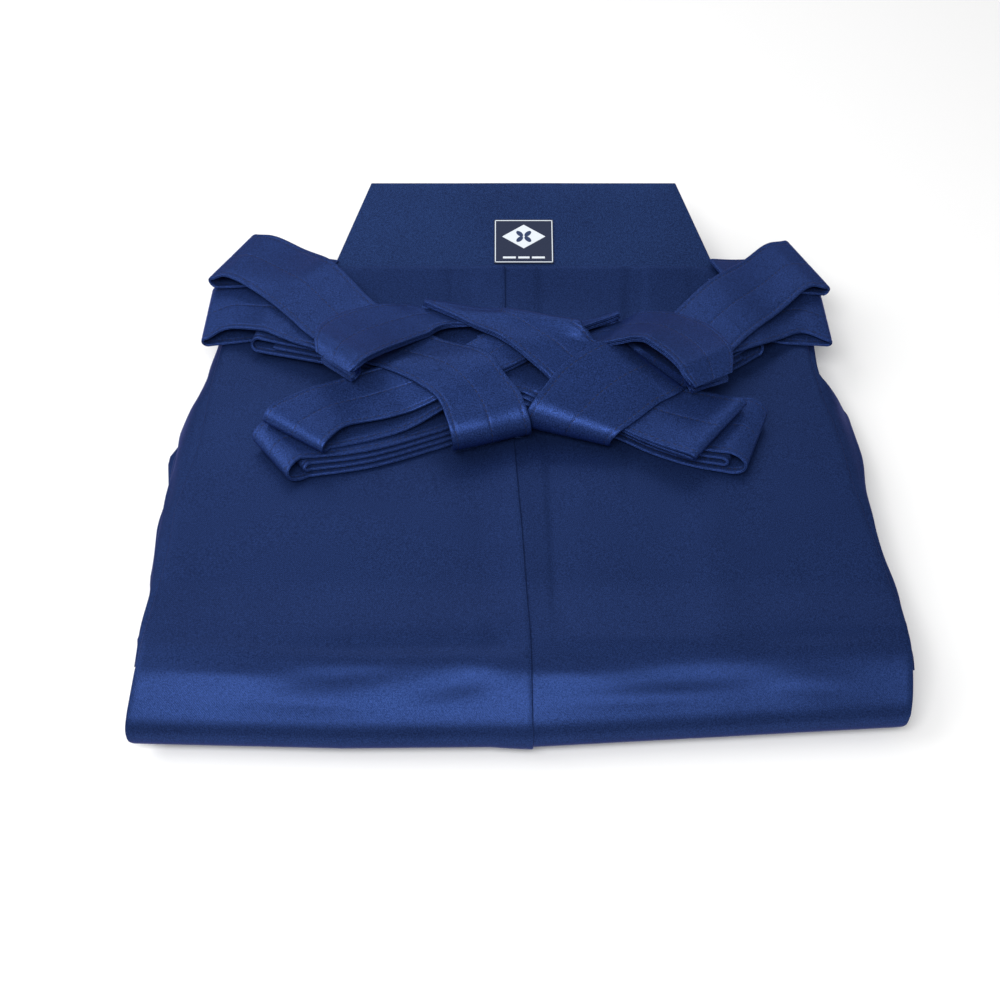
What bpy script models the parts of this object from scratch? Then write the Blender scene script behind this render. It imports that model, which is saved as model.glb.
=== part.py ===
"""Folded hakama: wide pleated trousers, folded in three and laid flat, straps crossed on top.

The garment lies face up on a surface. The folded legs are one rounded stack with layered
edges; the back and front panels lie over it and the front rolls round the near fold. The stiff
back board stands out beyond the far edge. The straps are laid one after another, each stretch
resting on the pile of cloth that is already there, in the order in which they are folded.

+X runs across the garment, +Y from the near fold to the back board, +Z up. The origin is the
middle of the footprint, on the surface. Tables are in millimetres.
"""
import bpy
import numpy as np

# ---------------------------------------------------------------- sizes, in millimetres

MM = 0.001
GAP = 0.4              # air between two pieces that touch
CLOTH = 2.0            # wall of a panel: cloth, its folded hems and the air in them
STRAP = 2.0            # a strap: cloth folded over its interlining
DOUBLE_STRAP = 3.6     # two strap layers lying together
BUNDLE = 11.0          # a strap folded to and fro, at the two ends of its bundle
BUNDLE_PLIES = 4       # strap layers that show at a bundle's edge
BUNDLE_WAIST = 0.72    # a bundle is pressed down to this share where the straps cross it
PLY_GROOVE = 1.2       # depth of the groove between the two layers of a doubled strap
BUNDLE_GROOVE = 1.6    # and between the layers of a bundle

FAR_EDGE = 158.0       # y of the front's top edge
STACK_TOP = ((-125.0, 31.0), (0.0, 29.5), (160.0, 25.0))   # y, height of the folded legs
NEAR_FOLD = ((-205, -157), (-90, -160), (10, -159), (205, -147))   # x, y where the fold turns
ROLL_LENGTH = 44.0     # the top starts to round off this far from the near fold
ROLL_HEIGHT = 13.0     # height at which the near fold reaches furthest
UNDER_TURN = 12.0      # how far the panel turns back under the fold
STACK_UNDER_TURN = 34.0    # how far the stack inside it draws back to its foot
FOLD_FOOT = 1.6        # the panel's lowest line, just clear of the surface
SIDE_TUCK = 7.0        # the near corners draw in where the fold turns under
LAYER_GROOVE = 3.0     # depth of the groove between two folded layers
FRONT_OUTSET = CLOTH * 1.5 + 3 * GAP + 0.6     # middle of the front's cloth outside the stack

# Folded layers of the legs from the floor up: the share of the height where the layer ends,
# then its outline as y, left edge, right edge.
LAYERS = (
    (0.24, (
        (170, -172, 172), (95, -178, 181), (78, -183, 189), (66, -190, 194), (52, -196, 193),
        (40, -205, 199), (0, -205, 202), (-50, -206, 202), (-110, -206, 207), (-168, -202, 206),
    )),
    (0.48, (
        (170, -172, 172), (90, -178, 181), (76, -185, 188), (66, -189, 194), (50, -195, 192),
        (38, -199, 195), (0, -200, 198), (-50, -202, 199), (-110, -203, 205), (-168, -199, 203),
    )),
    (0.74, (
        (170, -172, 172), (80, -181, 181), (62, -187, 187), (48, -191, 189), (0, -196, 193),
        (-60, -198, 196), (-110, -199, 202), (-168, -199, 202),
    )),
    (1.00, (
        (170, -172, 172), (70, -180, 180), (50, -186, 184), (0, -190, 190), (-60, -194, 195),
        (-110, -196, 200), (-168, -196, 201),
    )),
)

# Outlines of the panels that show: y, left edge, right edge.
FRONT_EDGES = (
    (168, -174, 172), (90, -178, 174), (50, -180, 180), (15, -183, 186), (-25, -189, 190),
    (-50, -191, 194), (-75, -193, 199), (-120, -196, 204), (-168, -202, 205),
)
BACK_EDGES = (
    (168, -176, 174), (75, -182, 180), (60, -187, 188), (50, -191, 193), (34, -195, 194),
    (15, -195, 195), (-40, -196, 195), (-120, -197, 203),
)
BACK_REACH = (156.0, -128.0)   # y where the back panels start and end
PLEAT_LINE = ((160, -7.5), (120, -7.0), (20, -2.4), (-45, 1.8), (-115, 5.3), (-170, 6.5))   # y, x

BOARD = 4.6            # thickness of the covered back board
BOARD_TOP_WIDTH = 193.0
BOARD_FOOT_WIDTH = 243.0
BOARD_HEIGHT = 77.0
BOARD_MIDDLE = 4.8     # x of its middle
BOARD_FOOT_Y = 148.0   # y of its foot, under the front's top edge
BOARD_REST = 29.0      # height of the foot's underside
BOARD_TILT = 0.20      # rise per millimetre of height
LABEL = 0.8
LABEL_X = 4.7
LABEL_WIDTH = 37.0
LABEL_SPAN = (16.0, 47.0)      # from and to, up the board

OVERHANG = 29.0        # straps stand out level where they pass the edge of the panels
FLAP_LIFT = 1.5        # air in the open end of the left flap

# The two long edges, a and b, of each stretch of strap: a_x, a_y, b_x, b_y, row by row.
FRONT_LEFT_UNDER = ((-125, 112, -118, 150), (-155, 102, -152, 141), (-185, 97, -184, 136))
FRONT_LEFT_OVER = (
    (-185, 97, -184, 136), (-172, 104, -168, 141), (-150, 97, -146, 137), (-137, 90, -130, 131),
    (-118, 82, -108, 122),
)
FRONT_RIGHT_UNDER = ((125, 112, 118, 148), (155, 100, 152, 138), (186, 97, 185, 131))
FRONT_RIGHT_OVER = (
    (186, 97, 185, 131), (171, 104, 168, 140), (157, 97, 152, 136), (142, 87, 134, 127),
    (120, 77, 112, 118),
)
BUNDLE_RIGHT_TO_LEFT = (
    (150, 86, 148, 112), (141, 79, 132, 116), (120, 72, 106, 112), (80, 58, 66, 98),
    (40, 44, 26, 84), (0, 31, -14, 71), (-37, 18, -51, 58), (-81, 2, -94, 43),
    (-120, -6, -138, 34), (-130, -2, -147, 24),
)
BUNDLE_LEFT_TO_RIGHT = (
    (-160, 90, -158, 112), (-151, 85, -146, 122), (-122, 81, -110, 121), (-80, 66, -66, 106),
    (-30, 47, -16, 87), (20, 31, 34, 71), (54, 22, 66, 62), (75, 11, 88, 51), (99, 2, 111, 42),
    (112, -2, 123, 43), (125, -1, 137, 38), (130, 4, 141, 33),
)
REAR_RIGHT_ROOT = ((131.6, 134, 119.6, 171), (152, 138, 150, 178), (190, 141, 172, 183))
REAR_RIGHT_DIAGONAL = (
    (190, 141, 172, 183), (178, 140, 160, 178), (162, 124, 140, 159), (140, 97, 112, 131),
    (120, 72, 88, 103), (95, 51, 57, 77),
)
REAR_RIGHT_LOOP = (
    (95, 51, 57, 77), (93, 49, 54, 75), (91, 47, 52, 72.5), (89, 45.5, 49.5, 70),
    (87, 43.5, 47, 68), (80, 37, 38, 60), (67, 30, 24, 48), (58, 25, 13, 37), (54, 21, 6, 29),
    (53, 18, 5, 26.5), (53, 16, 5, 24.5),
)
REAR_LEFT_ROOT = ((-122, 134, -110, 171), (-150, 140, -150, 180), (-188, 147, -170, 189))
REAR_LEFT_DIAGONAL = (
    (-188, 147, -170, 189), (-176, 149, -155, 186), (-157, 134, -137, 173), (-139, 112, -110, 147),
    (-118, 86, -83, 114), (-87, 60, -48, 84), (-63, 47, -20, 66), (-50, 37, -9, 51),
    (-43, 28, 0, 38), (-38, 17, 4, 28), (-38, 14, 5, 25), (-38, 12, 5, 23),
)
BAND_RIGHT = (
    (101, 52, 121, 68), (100, 55, 123, 73), (95, 61, 117, 84), (85, 69, 103, 94), (70, 76, 88, 100),
    (50, 80, 72, 100), (-23, 80, 60, 97),
)
ARM_TO_LEFT = (
    (-23, 80, 60, 97), (-30, 76, 39, 87), (-44, 68, 5, 64), (-52, 63, -12, 54), (-60, 58, -20, 48),
)
FLAP_LEFT_UNDER = (
    (-23, 45, -63, 55), (-45, 31, -72, 58), (-62, 21, -80, 58), (-81, 14, -94, 52),
    (-106, 7, -140, 29),
)
FLAP_LEFT_OVER = (
    (-106, 7, -140, 29), (-95, 19, -114, 45), (-70, 26, -88, 55), (-49, 34, -72, 58),
    (-24, 46, -63, 56),
)
BAND_LEFT = (
    (-96, 50, -121, 70), (-95, 52, -122, 76), (-85, 60, -116, 88), (-66, 77, -100, 102),
    (-51, 86, -82, 108), (-30, 93, -64, 108), (38, 84, -49, 106),
)
ARM_TO_RIGHT = (
    (38, 84, -49, 106), (42, 79, -30, 91), (49, 70, -5, 68), (58, 58, 20, 44), (72, 46, 39, 28),
    (92, 42, 58, 17), (110, 42, 76, 11), (128, 37, 95, 4),
)

# Fineness of the meshes: rows and columns of points, and spacing along a strap.
STACK_ROWS = 28
STACK_COLUMNS = 9
PANEL_ROWS = 19
PANEL_COLUMNS = 9
BACK_COLUMNS = 5
ROLL_ROWS = 7
STRAP_STEP = 8.5
STRAP_COLUMNS = 5
BUNDLE_STEP = 14.0
BUNDLE_COLUMNS = 4
TURN_ROWS = 4
SHARP_ANGLE = 0.7

# Laying cloth on the pile: sag and share of each bend evened out, one pair for each round.
SETTLING = ((1.2, 0.3),) * 14 + ((0.5, 0.2),) * 8 + ((0, 0),) * 24
CLEAR = 0.02           # shortfall that counts as lying clear
STRAP_EASE = 5         # width over which the steps of the pile are eased under a piece
PANEL_EASE = 6
BACK_EASE = 3
BUNDLE_EASE = 14

NAVY = (0.010, 0.027, 0.105)
NAVY_DARK = (0.006, 0.015, 0.060)
NAVY_SHEEN = (0.014, 0.036, 0.135)
LABEL_BLUE = (0.004, 0.008, 0.035)


# ---------------------------------------------------------------- curves and meshes

def read_table(table, value):
    """Linear reading of a two-column table."""
    keys, values = np.array(sorted(table)).T
    return np.interp(value, keys, values)


def smooth_rows(rows, step):
    """Rows along a smooth curve through the table's rows, about one step apart."""
    rows = np.asarray(rows, float)
    ends = np.vstack([2 * rows[0] - rows[1], rows, 2 * rows[-1] - rows[-2]])
    out = []
    for k in range(len(rows) - 1):
        p0, p1, p2, p3 = ends[k:k + 4]
        middle = (p2 - p1).reshape(-1, 2).mean(axis=0)
        count = max(1, int(round(np.hypot(*middle) / step)))
        t = np.arange(count)[:, None] / count
        out.append(p1 + 0.5 * t * (p2 - p0 + t * (2 * p0 - 5 * p1 + 4 * p2 - p3
                                                  + t * (3 * (p1 - p2) + p3 - p0))))
    return np.vstack(out + [rows[-1:]])


def across(left, right, columns):
    """A grid of points between two edges, given as (rows, 3) arrays."""
    share = np.linspace(0, 1, columns)[None, :, None]
    return left[:, None] * (1 - share) + right[:, None] * share


def grid_normals(grid):
    """Unit normals of a grid of points, upwards where rows run ahead and columns to the right."""
    along = np.gradient(grid, axis=0)
    over = np.gradient(grid, axis=1)
    normal = np.cross(over, along)
    return normal / np.linalg.norm(normal, axis=2, keepdims=True)


def rim(rows, columns):
    """Indices round the border of a grid, in order."""
    index = np.arange(rows * columns).reshape(rows, columns)
    return np.concatenate([index[0, :-1], index[:-1, -1], index[-1, :0:-1], index[:0:-1, 0]])


def closed_solid(lower, upper, loops=()):
    """Vertices and triangles of the solid between two grids, with loops of points round its side."""
    rows, columns = lower.shape[:2]
    size = rows * columns
    border = rim(rows, columns)
    vertices = np.vstack([lower.reshape(-1, 3), upper.reshape(-1, 3)] + list(loops))
    index = np.arange(size).reshape(rows, columns)
    a, b, c, d = index[:-1, :-1], index[1:, :-1], index[1:, 1:], index[:-1, 1:]
    quads = np.stack([a, b, c, d], -1).reshape(-1, 4)
    faces = [quads, quads[:, ::-1] + size]
    rings = [border]
    rings += [2 * size + k * len(border) + np.arange(len(border)) for k in range(len(loops))]
    rings += [border + size]
    for low, high in zip(rings[:-1], rings[1:]):
        faces.append(np.stack([low, np.roll(low, -1), np.roll(high, -1), high], -1))
    quads = np.vstack(faces)
    triangles = np.vstack([quads[:, [0, 1, 2]], quads[:, [0, 2, 3]]])
    corner = vertices[triangles]
    volume = np.einsum("ij,ij->i", corner[:, 0], np.cross(corner[:, 1], corner[:, 2])).sum()
    return vertices, triangles if volume > 0 else triangles[:, ::-1]


def ply_loops(lower, upper, plies, groove):
    """Loops round the side between two grids: one rounded edge for each ply, grooves between."""
    rows, columns = lower.shape[:2]
    border = rim(rows, columns)
    low = lower.reshape(-1, 3)[border]
    high = upper.reshape(-1, 3)[border]
    before, after = np.roll(low, 1, axis=0), np.roll(low, -1, axis=0)
    inward = np.cross((0, 0, 1), after - before)
    inward[:, 2] = 0
    inward /= np.linalg.norm(inward, axis=1, keepdims=True)
    middle = low.mean(axis=0)
    if np.einsum("ij,ij->i", inward, middle - low).sum() < 0:
        inward = -inward
    loops = []
    for k in range(plies):
        for part, depth in ((0.2, 0.0), (0.8, 0.0), (1.0, groove)):
            if (k, part) != (plies - 1, 1.0):
                share = (k + part) / plies
                loops.append(low * (1 - share) + high * share + inward * depth)
    return loops


def material(name, colour, roughness):
    made = bpy.data.materials.new(name)
    made.use_nodes = True
    shader = made.node_tree.nodes["Principled BSDF"]
    shader.inputs["Base Color"].default_value = (*colour, 1.0)
    shader.inputs["Roughness"].default_value = roughness
    shader.inputs["Metallic"].default_value = 0.0
    return made


def add_node(name, solid, colour, roughness=0.6):
    """One named object from vertices in millimetres and triangles."""
    vertices, triangles = solid
    mesh = bpy.data.meshes.new(name)
    mesh.from_pydata((vertices * MM).tolist(), [], triangles.tolist())
    mesh.materials.append(material(name + "_finish", colour, roughness))
    mesh.shade_smooth()
    mesh.set_sharp_from_angle(angle=SHARP_ANGLE)
    made = bpy.data.objects.new(name, mesh)
    bpy.context.scene.collection.objects.link(made)
    return made


# ---------------------------------------------------------------- the pile of cloth

class Pile:
    """Height of the cloth laid so far, on a plan grid of one-millimetre cells."""
    WEST, SOUTH, COLUMNS, ROWS = -240, -200, 480, 460
    SAMPLED = ((12, 10), (20, 16), (40, 30), (80, 60), (200, 140))   # longest side, divisions

    def __init__(self):
        self.top = np.zeros((self.COLUMNS, self.ROWS))

    def cells(self, points):
        x = np.clip(np.rint(points[..., 0] - self.WEST).astype(int), 1, self.COLUMNS - 2)
        y = np.clip(np.rint(points[..., 1] - self.SOUTH).astype(int), 1, self.ROWS - 2)
        return x, y

    def samples(self, corners):
        """Sets of triangles with weights that sample each of them closer than one cell."""
        longest = np.linalg.norm(corners - np.roll(corners, 1, axis=1), axis=2)[..., None]
        longest = longest.max(axis=(1, 2))
        start = 0.0
        for end, divisions in self.SAMPLED:
            chosen = np.nonzero((longest >= start) & (longest < end))[0]
            start = end
            if len(chosen):
                i, j = np.meshgrid(np.arange(divisions + 1), np.arange(divisions + 1))
                i, j = i[i + j <= divisions], j[i + j <= divisions]
                yield chosen, np.stack([divisions - i - j, i, j], -1) / divisions

    def add(self, solid):
        """Raises the pile to the top of a solid."""
        vertices, triangles = solid
        corners = vertices[triangles]
        for chosen, weights in self.samples(corners):
            points = np.einsum("sk,tkc->tsc", weights, corners[chosen]).reshape(-1, 3)
            np.maximum.at(self.top, self.cells(points), points[:, 2])

    def reach(self):
        """The pile, spread by one cell each way."""
        spread = self.top
        for axis in (0, 1):
            spread = np.max([np.roll(spread, k, axis) for k in (-1, 0, 1)], axis=0)
        return spread

    def eased(self, width):
        """The pile with its steps eased off over a width, never below the cloth."""
        height = self.reach()
        for _ in range(3):
            mean = height
            for axis in (0, 1):
                mean = np.mean([np.roll(mean, k, axis) for k in range(-width, width + 1)], axis=0)
            height = np.maximum(height, mean)
        return height

    def settle(self, grid, wall, upright, ease, lift=0.0, held=None):
        """Middle surface of a wall laid on the pile. It starts on the eased pile, then sags a
        little, evens out its bends and is pushed clear of the cloth below, over and over.
        A held row keeps its place, where the wall continues one that already lies."""
        laid = grid.copy()
        laid[..., 2] = self.eased(ease)[self.cells(grid)] + wall / 2 + GAP + lift
        if held is not None:
            laid[0] = held
        rows, columns = grid.shape[:2]
        index = np.arange(rows * columns).reshape(rows, columns)
        a, b, c, d = index[:-1, :-1], index[1:, :-1], index[1:, 1:], index[:-1, 1:]
        quads = np.stack([a, b, c, d], -1).reshape(-1, 4)
        halves = ([0, 1, 2], [0, 2, 3], [0, 1, 3], [1, 2, 3])
        triangles = np.vstack([quads[:, half] for half in halves])
        floor = self.reach()
        sampled = list(self.samples(laid.reshape(-1, 3)[triangles]))
        lowest = laid[..., 2].copy()
        for sag, bend in SETTLING:
            height = np.maximum(lowest, laid[..., 2] - sag)
            padded = np.pad(height, 1, mode="reflect", reflect_type="odd")
            mean = (padded[2:, 1:-1] + padded[:-2, 1:-1]) / 2
            mean = 0.5 * mean + 0.25 * (padded[1:-1, 2:] + padded[1:-1, :-2])
            laid[..., 2] = height + bend * (mean - height)
            if held is not None:
                laid[0] = held
            normal = np.array((0.0, 0.0, 1.0)) if upright else grid_normals(laid)
            normal = normal * np.sign(normal[..., 2:])
            under = (laid - normal * wall / 2).reshape(-1, 3)
            push = np.zeros(rows * columns)
            worst = 0.0
            for chosen, weights in sampled:
                points = np.einsum("sk,tkc->tsc", weights, under[triangles[chosen]])
                short = np.clip(floor[self.cells(points)] + GAP - points[..., 2], 0, None)
                worst = max(worst, short.max())
                share = weights / (weights ** 2).sum(axis=1, keepdims=True)
                np.maximum.at(push, triangles[chosen], (short[..., None] * share).max(axis=1))
            laid[..., 2] += push.reshape(rows, columns)
            if held is not None:
                laid[0] = held
            if not bend and worst < CLEAR:
                break
        return laid


# ---------------------------------------------------------------- folded body

def body_point(x, share, outset):
    """Point of the body's skin at x. Share 0..1 runs over the flat top from the far edge, 1..2
    round the upper part of the near fold in a quarter ellipse, 2..3 under it in another. Outset
    moves the point outwards."""
    near = read_table(NEAR_FOLD, x)
    flat_end = near + ROLL_LENGTH
    y_flat = FAR_EDGE + (flat_end - FAR_EDGE) * np.clip(share, 0, 1)
    top = read_table(STACK_TOP, flat_end)
    upper = np.clip(share - 1, 0, 1) * np.pi / 2
    lower = np.clip(share - 2, 0, 1) * np.pi / 2
    y = np.where(share <= 1, y_flat, flat_end - (ROLL_LENGTH + outset) * np.sin(upper))
    z = np.where(share <= 1, read_table(STACK_TOP, y_flat) + outset,
                 ROLL_HEIGHT + (top - ROLL_HEIGHT + outset) * np.cos(upper))
    y = np.where(share > 2, near + UNDER_TURN - (UNDER_TURN + outset) * np.cos(lower), y)
    z = np.where(share > 2, ROLL_HEIGHT - (ROLL_HEIGHT - FOLD_FOOT) * np.sin(lower), z)
    return np.stack([x, y, z], -1)


def edge_line(edges, y, side):
    """x of the left or right outline at y, from a table of y, left edge, right edge."""
    keys, left, right = np.array(sorted(edges), float).T
    return np.interp(y, keys, left if side == "left" else right)


def stack_level(edges, share_up, inset):
    """A level of the stack: a grid from far edge to near fold, at a share of the full height."""
    share = np.concatenate([np.linspace(0, 1, STACK_ROWS - 5), np.linspace(1.2, 2, 5)])
    columns = np.linspace(0, 1, STACK_COLUMNS)
    y = body_point(np.zeros(STACK_ROWS), share, 0.0)[:, 1]
    left = edge_line(edges, y, "left") + inset
    right = edge_line(edges, y, "right") - inset
    x = left[:, None] + (right - left)[:, None] * columns
    level = body_point(x, np.repeat(share[:, None], STACK_COLUMNS, 1), -GAP)
    turn = STACK_UNDER_TURN * (1 - np.sqrt(share_up * (2 - share_up)))
    far_inset = inset * np.linspace(1, 0, STACK_ROWS)[:, None] ** 8
    level[..., 1] += turn * np.clip(share - 1, 0, 1)[:, None] - far_inset
    level[..., 2] *= share_up
    return level


def folded_legs():
    """The hidden layers as one rounded stack, flat below, with an edge for each folded layer."""
    border = rim(STACK_ROWS, STACK_COLUMNS)
    loops = []
    start = 0.0
    for end, edges in LAYERS:
        for part, inset in ((0.0, LAYER_GROOVE), (0.3, 0.0), (0.7, 0.0)):
            share_up = start + (end - start) * part
            if share_up:
                loops.append(stack_level(edges, share_up, inset).reshape(-1, 3)[border])
        start = end
    lower = stack_level(LAYERS[0][1], 0.0, LAYER_GROOVE * 0.7)
    upper = stack_level(LAYERS[-1][1], 1.0, LAYER_GROOVE * 0.5)
    return closed_solid(lower, upper, loops)


# ---------------------------------------------------------------- panels

def panel_columns(edges, y, side, columns):
    """x of a panel's points: from the outline to the centre pleat's line, left to right."""
    outer = edge_line(edges, y, side)
    if side == "left":
        first, last = outer, read_table(PLEAT_LINE, y) - GAP
    else:
        first, last = read_table(PLEAT_LINE, y) + GAP, outer
    return first[:, None] + (last - first)[:, None] * np.linspace(0, 1, columns)


def back_panel(pile, side):
    """One back panel: it lies on the stack, and it shows at the side slit and along the side."""
    y = np.linspace(*BACK_REACH, PANEL_ROWS)
    x = panel_columns(BACK_EDGES, y, side, BACK_COLUMNS)
    grid = np.stack([x, np.repeat(y[:, None], BACK_COLUMNS, 1), np.zeros_like(x)], -1)
    laid = pile.settle(grid, CLOTH, True, BACK_EASE)
    half = np.array((0, 0, CLOTH / 2))
    return closed_solid(laid - half, laid + half)


def front_panel(pile, side):
    """One front panel: over the back board's foot, down the stack and round the near fold."""
    roll_share = np.linspace(1, 3, 2 * ROLL_ROWS + 1)[1:]
    share = np.concatenate([np.linspace(0, 1, PANEL_ROWS), roll_share])
    y = body_point(np.zeros(len(share)), share, 0.0)[:, 1]
    x = panel_columns(FRONT_EDGES, y, side, PANEL_COLUMNS)
    corner = 0 if side == "left" else -1
    x[:, corner] -= np.sign(x[:, corner]) * SIDE_TUCK * np.clip(share - 2, 0, 1)
    middle = body_point(x, np.repeat(share[:, None], PANEL_COLUMNS, 1), FRONT_OUTSET)
    middle[:PANEL_ROWS] = pile.settle(middle[:PANEL_ROWS], CLOTH, True, PANEL_EASE)
    half = grid_normals(middle) * CLOTH / 2
    return closed_solid(middle - half, middle + half)


# ---------------------------------------------------------------- back board and label

def board_half_width(v):
    """Half the board's width, v mm up from its foot."""
    return (BOARD_FOOT_WIDTH + (BOARD_TOP_WIDTH - BOARD_FOOT_WIDTH) * v / BOARD_HEIGHT) / 2


def board_point(u, v, above):
    """Point on the board: u from -1 to 1 across, v in mm up from its foot, above its underside."""
    run = np.cos(np.arctan(BOARD_TILT))
    y = BOARD_FOOT_Y + v * run - above * BOARD_TILT * run
    z = BOARD_REST + v * run * BOARD_TILT + above * run
    return np.stack(np.broadcast_arrays(BOARD_MIDDLE + u * board_half_width(v), y, z), -1)


def back_board():
    """The covered board: a trapezoid with a rounded edge, which rises away from the stack."""
    u = np.linspace(-1, 1, 7)[None, :]
    v = np.linspace(0, BOARD_HEIGHT, 5)[:, None]
    lower = board_point(u, v, 0.0)
    upper = board_point(u, v, BOARD)
    return closed_solid(lower, upper, ply_loops(lower, upper, 1, 0.0))


def label():
    """The sewn-on label: a rectangle on the board's face, partly under the front's top edge."""
    v = np.array(LABEL_SPAN)[:, None]
    sides = np.array((-0.5, 0.5)) * LABEL_WIDTH + LABEL_X - BOARD_MIDDLE
    u = sides[None, :] / board_half_width(v)
    return closed_solid(board_point(u, v, BOARD + GAP), board_point(u, v, BOARD + GAP + LABEL))


# ---------------------------------------------------------------- straps

def plan_grid(table, step, columns):
    """Points in plan between the two long edges of a stretch, given row by row."""
    edges = smooth_rows(table, step)
    flat = np.zeros((len(edges), 1))
    return across(np.hstack([edges[:, :2], flat]), np.hstack([edges[:, 2:], flat]), columns)


class Strap:
    """A strap laid in stretches. Each row of a stretch gives its two long edges."""

    def __init__(self, pile, wall, plies=1):
        self.pile, self.wall, self.plies = pile, wall, plies
        self.rows = None

    def lay(self, table, turn=False, lift=0.0):
        """Lays a stretch on the pile; turn folds it back over the stretch before it."""
        grid = plan_grid(table, STRAP_STEP, STRAP_COLUMNS)
        held = None if turn or self.rows is None else self.rows[-1]
        laid = self.pile.settle(grid, self.wall, False, STRAP_EASE, lift, held)
        if self.rows is None:
            self.rows = laid
        elif turn:
            bend = self.fold(self.rows[-1], laid[0], laid[1])
            self.rows = np.concatenate([self.rows, bend, laid])
        else:
            self.rows = np.concatenate([self.rows, laid[1:]])
        self.pile.add(self.solid())
        return self

    def fold(self, low, high, next_row):
        """Rows round the half circle that joins a lower stretch to the one folded back over it."""
        line = low[-1] - low[0]
        line[2] = 0
        line /= np.linalg.norm(line)
        outward = (low - next_row).mean(axis=0)
        outward[2] = 0
        outward -= line * outward.dot(line)
        outward /= np.linalg.norm(outward)
        angles = np.linspace(0, np.pi, TURN_ROWS + 2)[1:-1, None, None]
        middle = (low + high) / 2
        radius = np.linalg.norm(high - low, axis=1)[:, None] / 2
        return middle + outward * radius * np.sin(angles) + (low - middle) * np.cos(angles)

    def solid(self):
        """The strap's wall, half of it to each side of its rows, with a groove between plies."""
        half = grid_normals(self.rows) * self.wall / 2
        lower, upper = self.rows - half, self.rows + half
        loops = ()
        if self.plies > 1:
            loops = ply_loops(lower, upper, self.plies, PLY_GROOVE)
        return closed_solid(lower, upper, loops)


def bundle(pile, table):
    """A strap folded to and fro: a stack of strap layers, resting on the pile as one."""
    laid = pile.settle(plan_grid(table, BUNDLE_STEP, BUNDLE_COLUMNS), 0.0, True, BUNDLE_EASE)
    to_end = np.abs(np.linspace(-1, 1, len(laid)))[:, None]
    rise = BUNDLE * (BUNDLE_WAIST + (1 - BUNDLE_WAIST) * to_end)
    rise[[0, -1]] = BUNDLE * BUNDLE_WAIST
    upper = laid.copy()
    upper[..., 2] += rise
    solid = closed_solid(laid, upper, ply_loops(laid, upper, BUNDLE_PLIES, BUNDLE_GROOVE))
    pile.add(solid)
    return solid


def centre_on_footprint(made):
    """Moves every node's mesh so that the origin is the middle of the footprint, on the floor."""
    points = np.array([v.co[:] for node in made for v in node.data.vertices])
    low, high = points.min(axis=0), points.max(axis=0)
    shift = np.array(((low[0] + high[0]) / 2, (low[1] + high[1]) / 2, low[2]))
    for node in made:
        moved = np.array([v.co[:] for v in node.data.vertices]) - shift
        node.data.vertices.foreach_set("co", moved.ravel())
        node.data.update()


def build():
    for thing in list(bpy.data.objects):
        bpy.data.objects.remove(thing)
    pile = Pile()
    made = []

    def keep(name, solid, colour, roughness=0.6):
        pile.add(solid)
        made.append(add_node(name, solid, colour, roughness))

    keep("folded_legs", folded_legs(), NAVY_DARK)
    backs = [(side, back_panel(pile, side)) for side in ("left", "right")]
    for side, solid in backs:
        keep("back_panel_" + side, solid, NAVY_DARK)
    keep("back_board", back_board(), NAVY, 0.7)
    keep("label", label(), LABEL_BLUE, 0.75)
    fronts = [(side, front_panel(pile, side)) for side in ("left", "right")]
    for side, solid in fronts:
        keep("front_panel_" + side, solid, NAVY_SHEEN, 0.5)

    pile.top = np.maximum(pile.top, OVERHANG)
    corner_left = Strap(pile, STRAP).lay(FRONT_LEFT_UNDER)
    corner_right = Strap(pile, STRAP).lay(FRONT_RIGHT_UNDER)
    lower_bundle = bundle(pile, BUNDLE_RIGHT_TO_LEFT)
    upper_bundle = bundle(pile, BUNDLE_LEFT_TO_RIGHT)
    corner_left.lay(FRONT_LEFT_OVER, turn=True)
    corner_right.lay(FRONT_RIGHT_OVER, turn=True)
    rear_right = Strap(pile, STRAP).lay(REAR_RIGHT_ROOT).lay(REAR_RIGHT_DIAGONAL, turn=True)
    band_right = Strap(pile, DOUBLE_STRAP, 2).lay(BAND_RIGHT).lay(ARM_TO_LEFT, turn=True)
    flap_left = Strap(pile, STRAP).lay(FLAP_LEFT_UNDER).lay(FLAP_LEFT_OVER, turn=True,
                                                                lift=FLAP_LIFT)
    rear_left = Strap(pile, STRAP).lay(REAR_LEFT_ROOT).lay(REAR_LEFT_DIAGONAL, turn=True)
    band_left = Strap(pile, DOUBLE_STRAP, 2).lay(BAND_LEFT).lay(ARM_TO_RIGHT, turn=True)
    rear_right.lay(REAR_RIGHT_LOOP)
    for name, strap in (
        ("front_strap_corner_left", corner_left), ("front_strap_corner_right", corner_right),
        ("rear_strap_left", rear_left), ("rear_strap_right", rear_right),
        ("front_strap_band_left", band_left), ("front_strap_band_right", band_right),
        ("front_strap_flap_left", flap_left),
    ):
        made.append(add_node(name, strap.solid(), NAVY))
    made.append(add_node("strap_bundle_lower", lower_bundle, NAVY))
    made.append(add_node("strap_bundle_upper", upper_bundle, NAVY))
    centre_on_footprint(made)


build()
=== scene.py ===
"""Looks of the folded hakama: satin twill cloth, folded layers, crossed straps and their stitching.

All shapes are worked out in millimetres on the plan in which the straps are laid, whose origin is
the middle of the front's width, and are moved to the frame's own middle when a mesh is made.
"""
import math

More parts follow.
